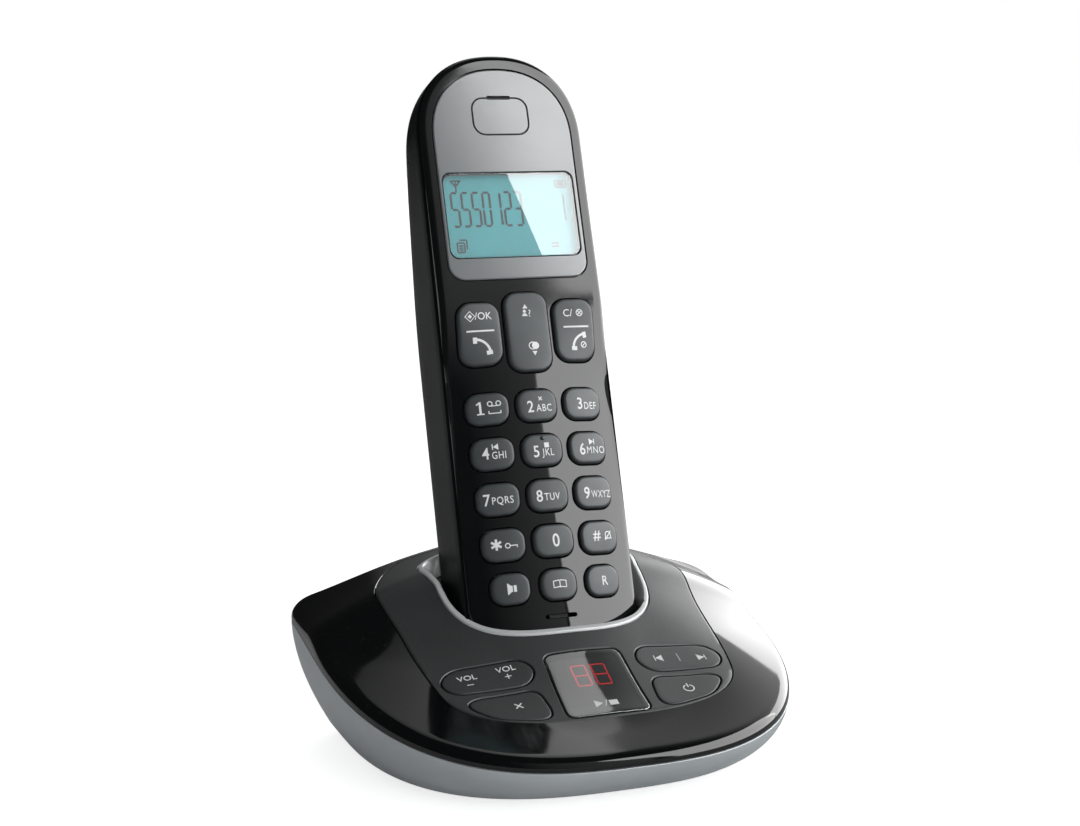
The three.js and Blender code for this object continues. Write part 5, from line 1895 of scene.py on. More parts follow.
@dataclass
class HandsetShells(SubAssembly):
    """The front and rear covers, the battery bay and its door."""

    form: HandsetForm
    around: int = 300
    around_bay: int = 120
    around_door: int = 160
    face_wall: float = 2.7
    face_corner: float = 0.4
    edge_share: float = 0.75
    shoulder: float = 0.5
    lip_ease: float = 0.15
    face_rows: int = 16
    rear_lip: tuple[tuple[float, float], ...] = ((0.25, 0.0), (0.05, 0.1))
    rear_lip_inset: float = 0.02
    seat_depth: float = 1.5
    through: float = 12.0
    hole_ease: tuple[tuple[float, float], ...] = ((0.0, 0.14), (-0.16, -0.02), (-0.16, -OVERRUN))
    mic_z: float = -62.2
    mic_half_width: float = 4.3
    mic_half_height: float = 0.45
    bay_half_width: float = 12.0
    bay_low: float = -32.0
    bay_high: float = 14.0
    bay_floor: float = 14.56
    bay_wall: float = 1.0
    bay_corner: float = 1.2
    bay_ease: float = 0.6
    door_half_width: float = 15.5
    door_margin: float = 3.5
    door_thick: float = 1.6
    door_corner: float = 1.6
    door_ease: float = 0.3
    grip_ridges: int = 6
    grip_pitch: float = 1.5
    grip_half_width: float = 6.5
    grip_taper: float = 0.55
    grip_top: float = 1.0
    grip_depth: float = 0.35
    contact_x: float = 9.0
    contact_y: float = 14.0
    contact_half_width: float = 3.0
    contact_half_depth: float = 2.4
    outline: Loop = field(init=False)

    def __post_init__(self) -> None:
        """Trace the handset's outline once."""
        self.outline = self.form.loop()

    def build(self, keys: Sequence[KeySpec], plate: FacePlate) -> None:
        """Build the shells.

        Args:
            keys: The keys that the front has holes for.
            plate: The faceplate that sits in the front.
        """
        self.build_front(keys, plate)
        self.build_rear()
        self.build_bay()
        self.build_door()

    def build_front(self, keys: Sequence[KeySpec], plate: FacePlate) -> None:
        """Model the gloss front cover with its holes.

        Args:
            keys: The keys that need a hole.
            plate: The faceplate that sits in the front.
        """
        form, wall, ease = self.form, self.form.wall, self.lip_ease
        seam, inner = shifted(form.seam, -FINE_GAP / 2), shifted(form.face, self.face_wall)
        front = Stack(self.outline, sunk, form.spine)
        front.fill(wall + self.face_corner, inner, [1 - share for share in shares(8)])
        front.row(wall, lambda spot: max(inner(spot), seam(spot) - ease))
        front.row(wall, lambda spot: max(seam(spot), inner(spot)))
        front.row(ease, seam)
        front.row(0.0, seam, -ease)
        front.rings += [self.edge_ring(inset, depth) for inset, depth in rounding(1.0, 10)]
        front.fill(form.edge_round, form.face, shares(self.face_rows)[1:])
        slot = box_outline(
            self.mic_half_width, self.mic_half_height, self.mic_half_height - WELD, (0.0, self.mic_z)
        )
        cutters = [self.hole(outline) for outline in (*(key.outline(KEY_GAP) for key in keys), slot)]
        cutters.append(prism(plate.outline(-FINE_GAP), sunk, self.seat_depth, -OVERRUN))
        skin = cut(front.skin(self.around), cutters)
        display = Stack(Loop(plate.window_outline(), plate.window_middle), sunk)
        for inset, depth in (
            (plate.ledge, -OVERRUN), (plate.ledge, self.seat_depth),
            (-plate.lcd_margin, self.face_wall), (-plate.lcd_margin, self.through),
        ):
            display.row(inset, depth)
        windows = [display.skin(HOLE_TURNS * 2), self.hole(plate.slot_outline(FINE_GAP))]
        self.settle(cut(skin, windows), "handset_front_shell", HANDSET_BLACK, ["handset_front"])

    def edge_ring(self, inset_share: float, depth_share: float) -> Ring:
        """Make a ring of the rounded edge of the face, whose round is smaller where the side is low.

        Args:
            inset_share: How far in the ring lies, as a share of the round.
            depth_share: How far below the face it lies, as a share of the round.

        Returns:
            The ring.
        """
        form = self.form

        def place(heading: float) -> Vector:
            """Place a heading."""
            rim = self.outline.at(heading)
            side = form.seam(rim) - FINE_GAP / 2 - form.face(rim)
            radius = min(form.edge_round, self.edge_share * side)
            spot = self.outline.at(heading, form.edge_round * inset_share)
            return sunk(spot, form.face(spot) + radius * depth_share)

        return place

    def hole(self, outline: Sequence[Vector]) -> Skin:
        """Make a cutter for a hole in the face, with an eased front edge.

        Args:
            outline: Outline of the hole.

        Returns:
            The cutter.
        """
        cutter = Stack(Loop(outline), sunk)
        for inset, depth in ((0.0, self.through), *self.hole_ease):
            cutter.row(inset, self.form.face, depth)
        return cutter.skin(HOLE_TURNS)

    def build_rear(self) -> None:
        """Model the satin rear cover: a proud shoulder, straight sides and a rounded back."""
        form, proud, outer_round = self.form, -self.shoulder, self.form.rear_round
        inner_round = outer_round - form.wall
        start = FINE_GAP + self.shoulder
        front, inner_back = shifted(form.seam, FINE_GAP / 2), shifted(form.rear, -form.wall)
        shell = Stack(self.outline, sunk, form.spine)
        shell.fill(form.wall + inner_round, inner_back, [1 - share for share in shares(8)])
        for rise, inset in rounding(inner_round, 4)[1:]:
            shell.row(form.wall + proud + inset, inner_back, -rise)
        for inset, rise in ((form.wall + proud, 0.0), *self.rear_lip):
            shell.row(inset, front, rise)
        for share, (rise, inset) in zip(shares(5), rounding(self.shoulder, 5), strict=True):
            tucked = self.rear_lip_inset * (1 - share)
            shell.row(proud + inset + tucked, front, FINE_GAP + rise)
        shell.wall(proud, shifted(front, start), shifted(form.rear, -outer_round), shares(5)[1:])
        for inset, rise in rounding(outer_round, 10)[1:]:
            shell.row(proud + inset, form.rear, -rise)
        shell.fill(proud + outer_round, form.rear, shares(10)[1:])
        half, deep = self.contact_half_width + FINE_GAP, self.contact_half_depth + FINE_GAP
        low, high = form.bottom - OVERRUN, form.bottom + form.wall + OVERRUN
        inside, outside = shifted(inner_back, -OVERRUN), form.rear_bottom + OVERRUN
        cutters = [prism(self.door_outline(FINE_GAP), sunk, inside, outside)]
        for x in (-self.contact_x, self.contact_x):
            near = (x - half, self.contact_y - deep, low)
            cutters.append(blocked(near, (x + half, self.contact_y + deep, high)))
        skin = cut(shell.skin(self.around), cutters)
        self.settle(skin, "handset_rear_shell", SATIN_BLACK, ["handset_rear"])

    @property
    def bay_middle(self) -> Vector:
        """Give the middle of the battery bay."""
        return Vector((0.0, (self.bay_low + self.bay_high) / 2))

    @property
    def bay_half_height(self) -> float:
        """Give half the height of the battery bay."""
        return (self.bay_high - self.bay_low) / 2

    def door_outline(self, grown: float = 0.0) -> list[Vector]:
        """Trace the battery door."""
        tall = self.bay_half_height + self.door_margin + grown
        return box_outline(self.door_half_width + grown, tall, self.door_corner, tuple(self.bay_middle))

    def build_bay(self) -> None:
        """Model the battery bay: a tray with a flange that carries the door."""
        wall, floor, ease = self.bay_wall, self.bay_floor, self.bay_ease
        seat = shifted(self.form.rear, -self.door_thick - FINE_GAP)
        half, tall = self.bay_half_width, self.bay_half_height
        inner = box_outline(half, tall, self.bay_corner, tuple(self.bay_middle))
        flange = self.door_margin + wall
        tray = Stack(Loop(inner, self.bay_middle), sunk)
        tray.row(0.0, floor, -wall, 1.0)
        for inset, surface, rise in (
            (-wall, floor, -wall), (-wall, seat, -wall), (-flange, seat, -wall), (-flange, seat, 0.0),
            (-FINE_GAP, seat, 0.0), (0.0, seat, -FINE_GAP), (0.0, floor, ease), (ease, floor, 0.0),
        ):
            tray.row(inset, surface, rise)
        tray.row(ease, floor, 0.0, 1.0)
        self.settle(tray.skin(self.around_bay), "battery_bay_tray", INNER_DARK)

    def build_door(self) -> None:
        """Model the battery door with its finger grip."""
        outer, ease = self.form.rear, self.door_ease
        door = Stack(Loop(self.door_outline(), self.bay_middle), sunk)
        door.fill(0.0, shifted(outer, -self.door_thick), (1.0, 0.5, 0.0))
        door.row(0.0, outer, -ease)
        door.fill(ease, outer, shares(10))
        grooves = []
        for index in range(self.grip_ridges):
            z = self.bay_high - self.grip_top - index * self.grip_pitch
            half, tall = self.grip_half_width - self.grip_taper * index, self.grip_pitch / 4
            outline = box_outline(half, tall, tall - WELD, (0.0, z))
            grooves.append(prism(outline, sunk, shifted(outer, -self.grip_depth), shifted(outer, OVERRUN)))
        skin = cut(door.skin(self.around_door), grooves)
        self.settle(skin, "battery_door_lid", SATIN_BLACK, ["battery_door"], body="battery_door")


@dataclass
class FacePlate(SubAssembly):
    """The silver faceplate with the window, the liquid-crystal display and the earpiece."""

    form: HandsetForm
    around: int = 200
    around_window: int = 120
    around_groove: int = 96
    half_width: float = 19.5
    top: float = 85.3
    bottom: float = 27.3
    corner: float = 4.5
    thick: float = 1.2
    edge_ease: float = 0.3
    window_half_width: float = 18.3
    window_low: float = 33.38
    window_high: float = 56.48
    window_corner: float = 2.4
    window_sink: float = 0.25
    window_thick: float = 1.0
    window_ease: float = 0.12
    ledge: float = 0.4
    lcd_margin: float = 1.2
    lcd_front: float = 2.8
    lcd_back: float = 7.5
    lcd_glass: float = 0.7
    lcd_ease: float = 0.4
    lcd_glass_ease: float = 0.15
    ear_z: float = 72.19
    ear_half_width: float = 8.1
    ear_half_height: float = 5.35
    ear_corner: float = 3.4
    groove_width: float = 0.5
    groove_depth: float = 0.8
    shade_sheet_depth: float = 0.3
    slot_half_width: float = 3.3
    slot_half_height: float = 0.55
    slot_corner: float = 0.3
    slot_rise: float = 5.2
    ink_thick: float = 0.06
    ink_line: float = 0.42
    digit_line: float = 0.62
    small_digit_line: float = 0.4

    @property
    def window_middle(self) -> Vector:
        """Give the middle of the display window."""
        return Vector((0.0, (self.window_low + self.window_high) / 2))

    def outline(self, inset: float = 0.0) -> list[Vector]:
        """Trace the faceplate's arched outline.

        Args:
            inset: How far in from the faceplate's edge it lies.

        Returns:
            Its points.
        """
        half, top, bottom = self.half_width - inset, self.top - inset, self.bottom + inset
        corner, arch_start = self.corner - inset, self.form.arch_start
        start = [Vector((0.0, bottom))]
        low = [*start, *line_to(start, (half - corner, bottom), 6)]
        centre = Vector((half - corner, bottom + corner))
        turn = [centre + Vector((point.x, -point.y)) * corner for point in quarter(2, 12)]
        side = line_to(turn, (half, arch_start), 10)[:-1]
        arch = [
            Vector((half * point.y, mix(arch_start, top, point.x)))
            for point in quarter(self.form.arch_power, 60)
        ]
        return mirrored([*low[:-1], *turn, *side, *arch])

    def window_outline(self, inset: float = 0.0) -> list[Vector]:
        """Trace the display window."""
        half, tall = self.window_half_width - inset, (self.window_high - self.window_low) / 2 - inset
        return box_outline(half, tall, self.window_corner, tuple(self.window_middle))

    def slot_outline(self, grown: float = 0.0) -> list[Vector]:
        """Trace the sound slot at the top of the earpiece pad."""
        half, tall = self.slot_half_width + grown, self.slot_half_height + grown
        return box_outline(half, tall, self.slot_corner, (0.0, self.ear_z + self.slot_rise))

    def build(self) -> None:
        """Build the faceplate, the window and the display."""
        self.build_plate()
        self.build_window()
        self.build_display()

    def plate_solid(
        self, outline: Sequence[Vector], front: float, back: float, ease: float, count: int
    ) -> Skin:
        """Make a flat plate with an eased front edge.

        Args:
            outline: Its outline, seen from the front.
            front: Depth of its face.
            back: Depth of its rear.
            ease: How much its front edge is rounded.
            count: Number of vertices round it.

        Returns:
            The closed skin.
        """
        plate = Stack(Loop(outline), sunk)
        plate.row(0.0, back)
        for inset, depth in (*rounding(ease, 4), (1.5 * ease, 0.0)):
            plate.row(inset, front, depth)
        return plate.skin(count)

    def groove(self, near: float, far: float) -> Skin:
        """Make a band that runs round the earpiece pad.

        Args:
            near: Depth of its one end.
            far: Depth of its other end.

        Returns:
            The closed skin.
        """
        middle = (0.0, self.ear_z)
        outline = box_outline(self.ear_half_width, self.ear_half_height, self.ear_corner, middle)
        band = Stack(Loop(outline, Vector(middle)), sunk)
        for inset, depth in (
            (0.0, near), (0.0, far), (self.groove_width, far), (self.groove_width, near), (0.0, near),
        ):
            band.row(inset, depth)
        return band.skin(self.around_groove)

    def build_plate(self) -> None:
        """Model the faceplate with its window, the earpiece groove and the sound slot, and a near-black sheet
        in the groove that is painted shade.
        """
        reach, deep = self.thick + OVERRUN, self.groove_depth
        plate = self.plate_solid(self.outline(), 0.0, self.thick, self.edge_ease, self.around)
        window = prism(self.window_outline(-FINE_GAP), sunk, reach, -OVERRUN)
        plate = cut(plate, [window, self.groove(-OVERRUN, deep)])
        plate = cut(plate, [prism(self.slot_outline(), sunk, reach, -OVERRUN)])
        self.settle(plate, "faceplate_silver_trim", FACE_SILVER, ["faceplate"], crease=FLAT_CREASE)
        # This sheet fills the bottom of the groove, so the groove looks dark by painted shade
        self.settle(self.groove(deep, self.shade_sheet_depth), "earpiece_groove_painted_shade", GROOVE_PAINTED_SHADE)

    def build_window(self) -> None:
        """Model the clear window."""
        front = self.window_sink
        back = front + self.window_thick
        skin = self.plate_solid(self.window_outline(), front, back, self.window_ease, self.around_window)
        self.settle(skin, "display_window_pane", WINDOW_CLEAR, ["display_window"], crease=FLAT_CREASE)

    def build_display(self) -> None:
        """Model the display module: its frame, its glass and the symbols on the glass."""
        half = self.window_half_width + self.lcd_margin
        low, high = self.window_low - self.lcd_margin, self.window_high + self.lcd_margin
        behind = self.lcd_front + self.lcd_glass
        frame = blocked((-half, behind, low), (half, self.lcd_back, high), self.lcd_ease)
        self.settle(frame, "lcd_module_frame", INNER_DARK, ["lcd_module"])
        glass = blocked((-half, self.lcd_front, low), (half, behind, high), self.lcd_glass_ease)
        self.settle(glass, "lcd_module_glass", LCD_TEAL)
        ink = laid(self.symbols(), self.ink_thick, lambda spot, rise: sunk(
            spot + self.window_middle, self.lcd_front - rise))
        self.settle(ink, "lcd_module_symbols", LCD_INK)

    def symbols(self) -> list[Mark]:
        """Draw the display's symbols: digits, signal, battery, pages and a list mark."""
        line = self.ink_line
        return [
            *SegmentDigits("5550123", -6.1, 2.2, 1.9, 9.2, 2.95, self.digit_line).marks(),
            *SegmentDigits("1", 15.0, 2.2, 1.95, 7.4, 2.95, self.small_digit_line).marks(),
            Bar(-14.2, 8.6, line, 3.2), Bar(-14.2, 10.1, 2.9, line),
            Bar(-14.9, 9.35, line, 2.1, 42), Bar(-13.5, 9.35, line, 2.1, -42),
            Bar(15.6, 9.7, 2.8, line), Bar(15.6, 7.9, 2.8, line), Bar(14.1, 8.8, line, 1.8),
            Bar(17.1, 8.8, line, 1.8), Bar(15.6, 8.8, 1.9, 1.0),
            Bar(-14.6, -6.9, 1.9, line), Bar(-14.6, -9.5, 1.9, line), Bar(-15.6, -8.2, line, 2.6),
            Bar(-13.6, -8.2, line, 2.6), Bar(-14.6, -7.7, 1.1, line), Bar(-14.6, -8.3, 1.1, line),
            Bar(-14.6, -8.9, 1.1, line), Bar(-13.9, -6.1, 1.9, line), Bar(-12.9, -7.4, line, 2.6),
            Bar(12.0, -7.6, 2.2, line), Bar(12.0, -8.5, 2.2, line),
        ]


@dataclass
class Keypad(SubAssembly):
    """The handset's keys, each on its own body, with their printed marks."""

    form: HandsetForm
    plan: KeypadPlan
    around: int = 80
    proud: float = 1.5
    depth: float = 5.2
    edge_round: float = 0.75
    edge_spare: float = 0.6
    dome: float = 0.16
    ink_thick: float = 0.05
    nub_radius: float = 0.55
    nub_rise: float = 3.0

    def on_key(self, key: KeySpec, spot: Vector, rise: float = 0.0) -> Vector:
        """Find the point that stands over a spot of a key's gently domed top.

        Args:
            key: The key.
            spot: The spot.
            rise: How far the point stands proud of the top.

        Returns:
            The point.
        """
        across, along = (spot.x - key.x) / key.half_width, (spot.y - key.z) / key.half_height
        dome = self.dome * (clamp(across * across + along * along, 0.0, 2.0) - 0.5)
        return sunk(spot, self.form.face(spot) - self.proud + dome - rise)

    def build(self) -> None:
        """Build every key, and the nub that marks the middle one."""
        for key in self.plan.keys():
            self.build_key(key)
        self.build_nub(next(key for key in self.plan.keys() if key.name == "key_5"))

    def build_key(self, key: KeySpec) -> None:
        """Model one key with its marks.

        Args:
            key: The key.
        """
        middle, radius = Vector((key.x, key.z)), self.edge_round
        cap = Stack(Loop(key.outline(), middle), lambda spot, rise: self.on_key(key, spot, rise))
        cap.row(0.0, lambda spot: self.on_key(key, spot).y - self.depth)
        cap.row(0.0, -radius - self.edge_spare)
        for inset, depth in rounding(radius, ROUND_STEPS):
            cap.row(inset, -depth)
        cap.fill(radius, 0.0, shares(7)[1:])
        self.settle(cap.skin(self.around), f"{key.name}_cap", KEY_GREY, [key.name], body=key.name)
        ink = laid(key.marks, self.ink_thick, lambda spot, rise: self.on_key(key, middle + spot, rise))
        # The print glows a little: painted light on the key's marks
        self.settle(ink, f"{key.name}_print", GLOWING_LEGEND_PRINT, body=key.name)

    def build_nub(self, key: KeySpec) -> None:
        """Model the raised nub by which a finger finds the middle key.

        Args:
            key: The middle key.
        """
        skin = bmesh.new()
        bmesh.ops.create_uvsphere(skin, u_segments=20, v_segments=12, radius=self.nub_radius)
        place = self.on_key(key, Vector((key.x, key.z + self.nub_rise)))
        bmesh.ops.translate(skin, verts=skin.verts, vec=place)
        self.settle(skin, "key_5_nub", NUB_DARK, body=key.name)


@dataclass
class BaseKeys(SubAssembly):
    """The five keys of the base, the counter under the clear one, and their printed marks."""

    form: BaseForm
    shells: BaseShells
    around: int = 128
    thick: float = 3.6
    corner: float = 3.2
    display_corner: float = 2.2
    display_top_half: float = 10.1
    display_bottom_half: float = 11.0
    display_length: float = 20.4
    edge_round: float = 0.4
    ink_thick: float = 0.05
    lens_wall: float = 1.3
    lens_thick: float = 1.2
    counter_half_width: float = 8.5
    counter_half_length: float = 7.0
    counter_down: float = 9.57
    counter_top: float = -4.99
    counter_bottom: float = -9.0
    counter_corner: float = 0.6
    guide_inset: float = 0.5
    guide_top: float = -2.2
    digit_place: tuple[float, float] = (1.0, 2.9)
    digit_size: tuple[float, float] = (3.7, 7.0)
    digit_pitch: float = 5.3
    digit_stroke: float = 0.34

    @property
    def slant(self) -> float:
        """Give how much a length along the panel shrinks, seen from above."""
        return math.cos(self.form.panel_tilt)

    def down(self, share: float) -> float:
        """Find how far front a share of the display key lies."""
        return self.form.panel_top_y - share * self.display_length

    def outlines(self) -> dict[str, list[Vector]]:
        """Trace the outlines of the five keys, seen from above."""
        half, top, bottom = self.form.panel_half_width, self.display_top_half, self.display_bottom_half
        rocker, lower = (
            rounded([Vector((-across * half, self.down(share))) for across, share in table], self.corner)
            for table in (ROCKER_KEY_SHARES, LOWER_KEY_SHARES)
        )
        places = ((-bottom, 1), (bottom, 1), (top, 0), (-top, 0))
        corners = [Vector((across, self.down(share))) for across, share in places]
        return {
            "volume_key": rocker,
            "delete_key": lower,
            "skip_key": flipped(rocker),
            "power_key": flipped(lower),
            "play_key": rounded(corners, self.display_corner),
        }

    def marks(self) -> dict[str, tuple[Mark, ...]]:
        """List the marks of each key, from the key's middle."""
        return {
            "volume_key": (
                Glyph("VOL", -5.1, 1.4, 1.9, LETTER_BOLD), Bar(-4.9, -1.4, 1.7, STROKE),
                Glyph("VOL", 5.2, 2.0, 1.9, LETTER_BOLD), Bar(5.1, -0.7, 1.7, STROKE),
                Bar(5.1, -0.7, STROKE, 1.7),
            ),
            "delete_key": (Bar(2.3, 0.8, 2.6, 0.36, 45), Bar(2.3, 0.8, 2.6, 0.36, -45)),
            "skip_key": (
                *skip_sign(-5.5, -0.15, -1, 1.9), Bar(0.0, 0.0, 0.2, 3.0), *skip_sign(6.2, -0.3, 1, 1.9),
            ),
            "power_key": (Arc(-0.3, 0.2, 1.35, 0.34, 115, 310), Bar(-0.3, 1.4, 0.34, 1.6)),
            "play_key": (
                Glyph("▶", -1.8, -7.5, 2.0), Bar(0.1, -7.5, 0.2, 2.3, -18), Bar(2.1, -7.55, 2.3, 1.8),
            ),
        }

    def build(self) -> None:
        """Build the keys and the counter."""
        marks = self.marks()
        for name, outline in self.outlines().items():
            self.build_key(name, outline, marks[name])
        self.build_counter()

    def printed(self, marks: Sequence[Mark], middle: Vector, rise: float = 0.0) -> Skin:
        """Print marks square to the panel.

        Args:
            marks: The marks.
            middle: The spot that they are placed from.
            rise: How far above the cover's surface they lie.

        Returns:
            The print's skin.
        """
        return laid(marks, self.ink_thick, lambda spot, proud: self.shells.risen(
            middle + Vector((spot.x, spot.y * self.slant)), rise + proud))

    def build_key(self, name: str, outline: Sequence[Vector], marks: Sequence[Mark]) -> None:
        """Model one flush key of the panel.

        Args:
            name: The key's node and body.
            outline: Its outline, seen from above.
            marks: Its printed marks.
        """
        reach = [[point[axis] for point in outline] for axis in range(2)]
        middle = Vector((min(line) + max(line)) / 2 for line in reach)
        radius, clear = self.edge_round, name == "play_key"
        cap = Stack(Loop(outline, middle), self.shells.risen)
        if clear:
            cap.fill(self.lens_wall, -self.lens_thick, (1.0, 0.5, 0.0))
            cap.row(self.lens_wall, -self.thick)
        cap.row(0.0, -self.thick)
        cap.row(0.0, -2 * radius)
        for inset, depth in rounding(radius, 5):
            cap.row(inset, -depth)
        cap.fill(radius, 0.0, shares(10)[1:])
        finish = SMOKED_LENS if clear else PANEL_DARK
        self.settle(cap.skin(self.around), f"{name}_cap", finish, [name], body=name)
        # The print glows a little: painted light on the key's marks
        self.settle(self.printed(marks, middle), f"{name}_print", GLOWING_LEGEND_PRINT, body=name)

    def block(self, middle: Vector, half_width: float, low: float, high: float) -> Skin:
        """Make a part of the counter, a block with round corners that stands square to the panel.

        Args:
            middle: Its middle, seen from above.
            half_width: Half of its width.
            low: Its lower end above the cover's surface.
            high: Its upper end.

        Returns:
            The closed skin.
        """
        long = self.counter_half_length * self.slant
        places = ((-1, -1), (1, -1), (1, 1), (-1, 1))
        corners = [Vector((x * half_width, y * long)) + middle for x, y in places]
        return prism(rounded(corners, self.counter_corner), self.shells.risen, low, high)

    def build_counter(self) -> None:
        """Model the message counter: its housing, the light guide in the lens and two glowing digits."""
        middle = Vector((0.0, self.form.panel_top_y - self.counter_down * self.slant))
        half = self.counter_half_width
        housing = self.block(middle, half, self.counter_bottom, self.counter_top)
        self.settle(housing, "message_display_housing", COUNTER_BODY, ["message_display"])
        guide = self.block(middle, half - self.guide_inset, self.counter_top, self.guide_top)
        self.settle(guide, "message_display_guide", COUNTER_BODY)
        place, size = self.digit_place, self.digit_size
        digits = SegmentDigits("88", *place, *size, self.digit_pitch, self.digit_stroke)
        glow = self.printed(digits.marks(), middle, self.guide_top)
        self.settle(glow, "message_display_digits", COUNTER_RED)


@dataclass
class BaseFittings(SubAssembly):
    """Feet, screws and sockets of the base."""

    form: BaseForm
    shells: BaseShells
    foot_height: float = 1.7
    foot_hollow: float = 0.35
    head_height: float = 1.3
    head_ease: float = 0.2
    head_round: float = 0.5
    screw_length: float = 9.0
    thread_pitch: float = 0.8
    thread_depth: float = 0.22
    thread_run_in: float = 0.1
    cross_half: float = 1.5
    cross_width: float = 0.28
    cross_depth: float = 0.8
    socket_depth: float = 11.5
    socket_ease: float = 0.4
    mouth_half_width: float = 4.85
    mouth_half_height: float = 3.35
    mouth_depth: float = 10.0
    wire_pitch: float = 1.27
    wire_radius: float = 0.22
    wire_rise: float = 0.9
    wire_tilt: float = math.radians(68)
    wire_length_share: float = 0.7
    wire_place_share: float = 0.55

    def build(self) -> None:
        """Build every foot, screw and socket."""
        corners = ("front_left", "front_right", "back_left", "back_right")
        for corner, place in zip(corners, self.shells.foot_places, strict=True):
            self.build_foot(corner, Vector((*place, 0.0)))
        for corner, place in zip(corners, self.shells.screw_places, strict=True):
            self.build_screw(corner, Vector((*place, 0.0)))
        self.build_socket("line_socket", -self.shells.socket_x, 4)
        self.build_socket("power_socket", self.shells.socket_x, 2)

    def build_foot(self, corner: str, middle: Vector) -> None:
        """Model a rubber foot with a shallow hollow in its sole.

        Args:
            corner: The corner that it stands in.
            middle: Where its axis stands.
        """
        radius, top, hollow = self.shells.foot_radius, self.foot_height, self.foot_hollow
        profile = [
            (0.0, hollow), (radius * 0.62, hollow), (radius * 0.72, 0.0), (radius * 0.93, 0.0),
            (radius, radius * 0.07), (radius, top), (0.0, top),
        ]
        self.settle(turned(profile, 48, middle), f"foot_{corner}_pad", RUBBER, [f"foot_{corner}"])

    def build_screw(self, corner: str, middle: Vector) -> None:
        """Model a case screw: a cross-recessed head and a threaded shank.

        Args:
            corner: The corner that it sits in.
            middle: Where its axis stands.
        """
        head, shank, pitch = self.shells.screw_head, self.shells.screw_shank, self.thread_pitch
        seat = self.form.foot_proud + self.shells.screw_recess - FINE_GAP
        low = seat - self.head_height
        end = seat + self.screw_length - self.head_height
        profile = [
            (0.0, low), (head * 0.7, low), (head * 0.93, low + self.head_ease),
            (head, low + self.head_round), (head, seat),
        ]
        for turn in range(int((end - seat) / pitch)):
            start = seat + turn * pitch
            profile += [(shank - self.thread_depth, start + self.thread_run_in), (shank, start + pitch / 2)]
        skin = turned([*profile, (shank * 0.5, end), (0.0, end)], 36, middle)
        for wide, high in ((self.cross_half, self.cross_width), (self.cross_width, self.cross_half)):
            near, far = Vector((-wide, -high, low - OVERRUN)), Vector((wide, high, low + self.cross_depth))
            skin = cut(skin, [blocked(near + middle, far + middle)])
        self.settle(skin, f"case_screw_{corner}_steel", STEEL, [f"case_screw_{corner}"])

    def build_socket(self, name: str, x: float, wires: int) -> None:
        """Model a socket with its mouth and the spring wires in it.

        Args:
            name: The socket's node.
            x: Where it lies across.
            wires: Number of contact wires.
        """
        front, z = self.shells.socket_front, self.shells.socket_z
        face = front + self.socket_depth
        half, tall = self.shells.socket_half_width, self.shells.socket_half_height
        body = blocked((x - half, front, z - tall), (x + half, face, z + tall), self.socket_ease)
        half, tall = self.mouth_half_width, self.mouth_half_height
        mouth = blocked((x - half, face - self.mouth_depth, z - tall), (x + half, face + OVERRUN, z + tall))
        self.settle(cut(body, [mouth]), f"{name}_shell", SATIN_BLACK, [name])
        strands = []
        for index in range(wires):
            across = x + (index - (wires - 1) / 2) * self.wire_pitch
            strand = bmesh.new()
            bmesh.ops.create_cone(
                strand, cap_ends=True, segments=8, radius1=self.wire_radius, radius2=self.wire_radius,
                depth=self.mouth_depth * self.wire_length_share,
            )
            bmesh.ops.transform(strand, verts=strand.verts, matrix=Matrix.Rotation(self.wire_tilt, 4, "X"))
            spot = (across, face - self.mouth_depth * self.wire_place_share, z + self.wire_rise)
            bmesh.ops.translate(strand, verts=strand.verts, vec=spot)
            strands.append(strand)
        self.settle(gathered(strands), f"{name}_wires", GOLD)


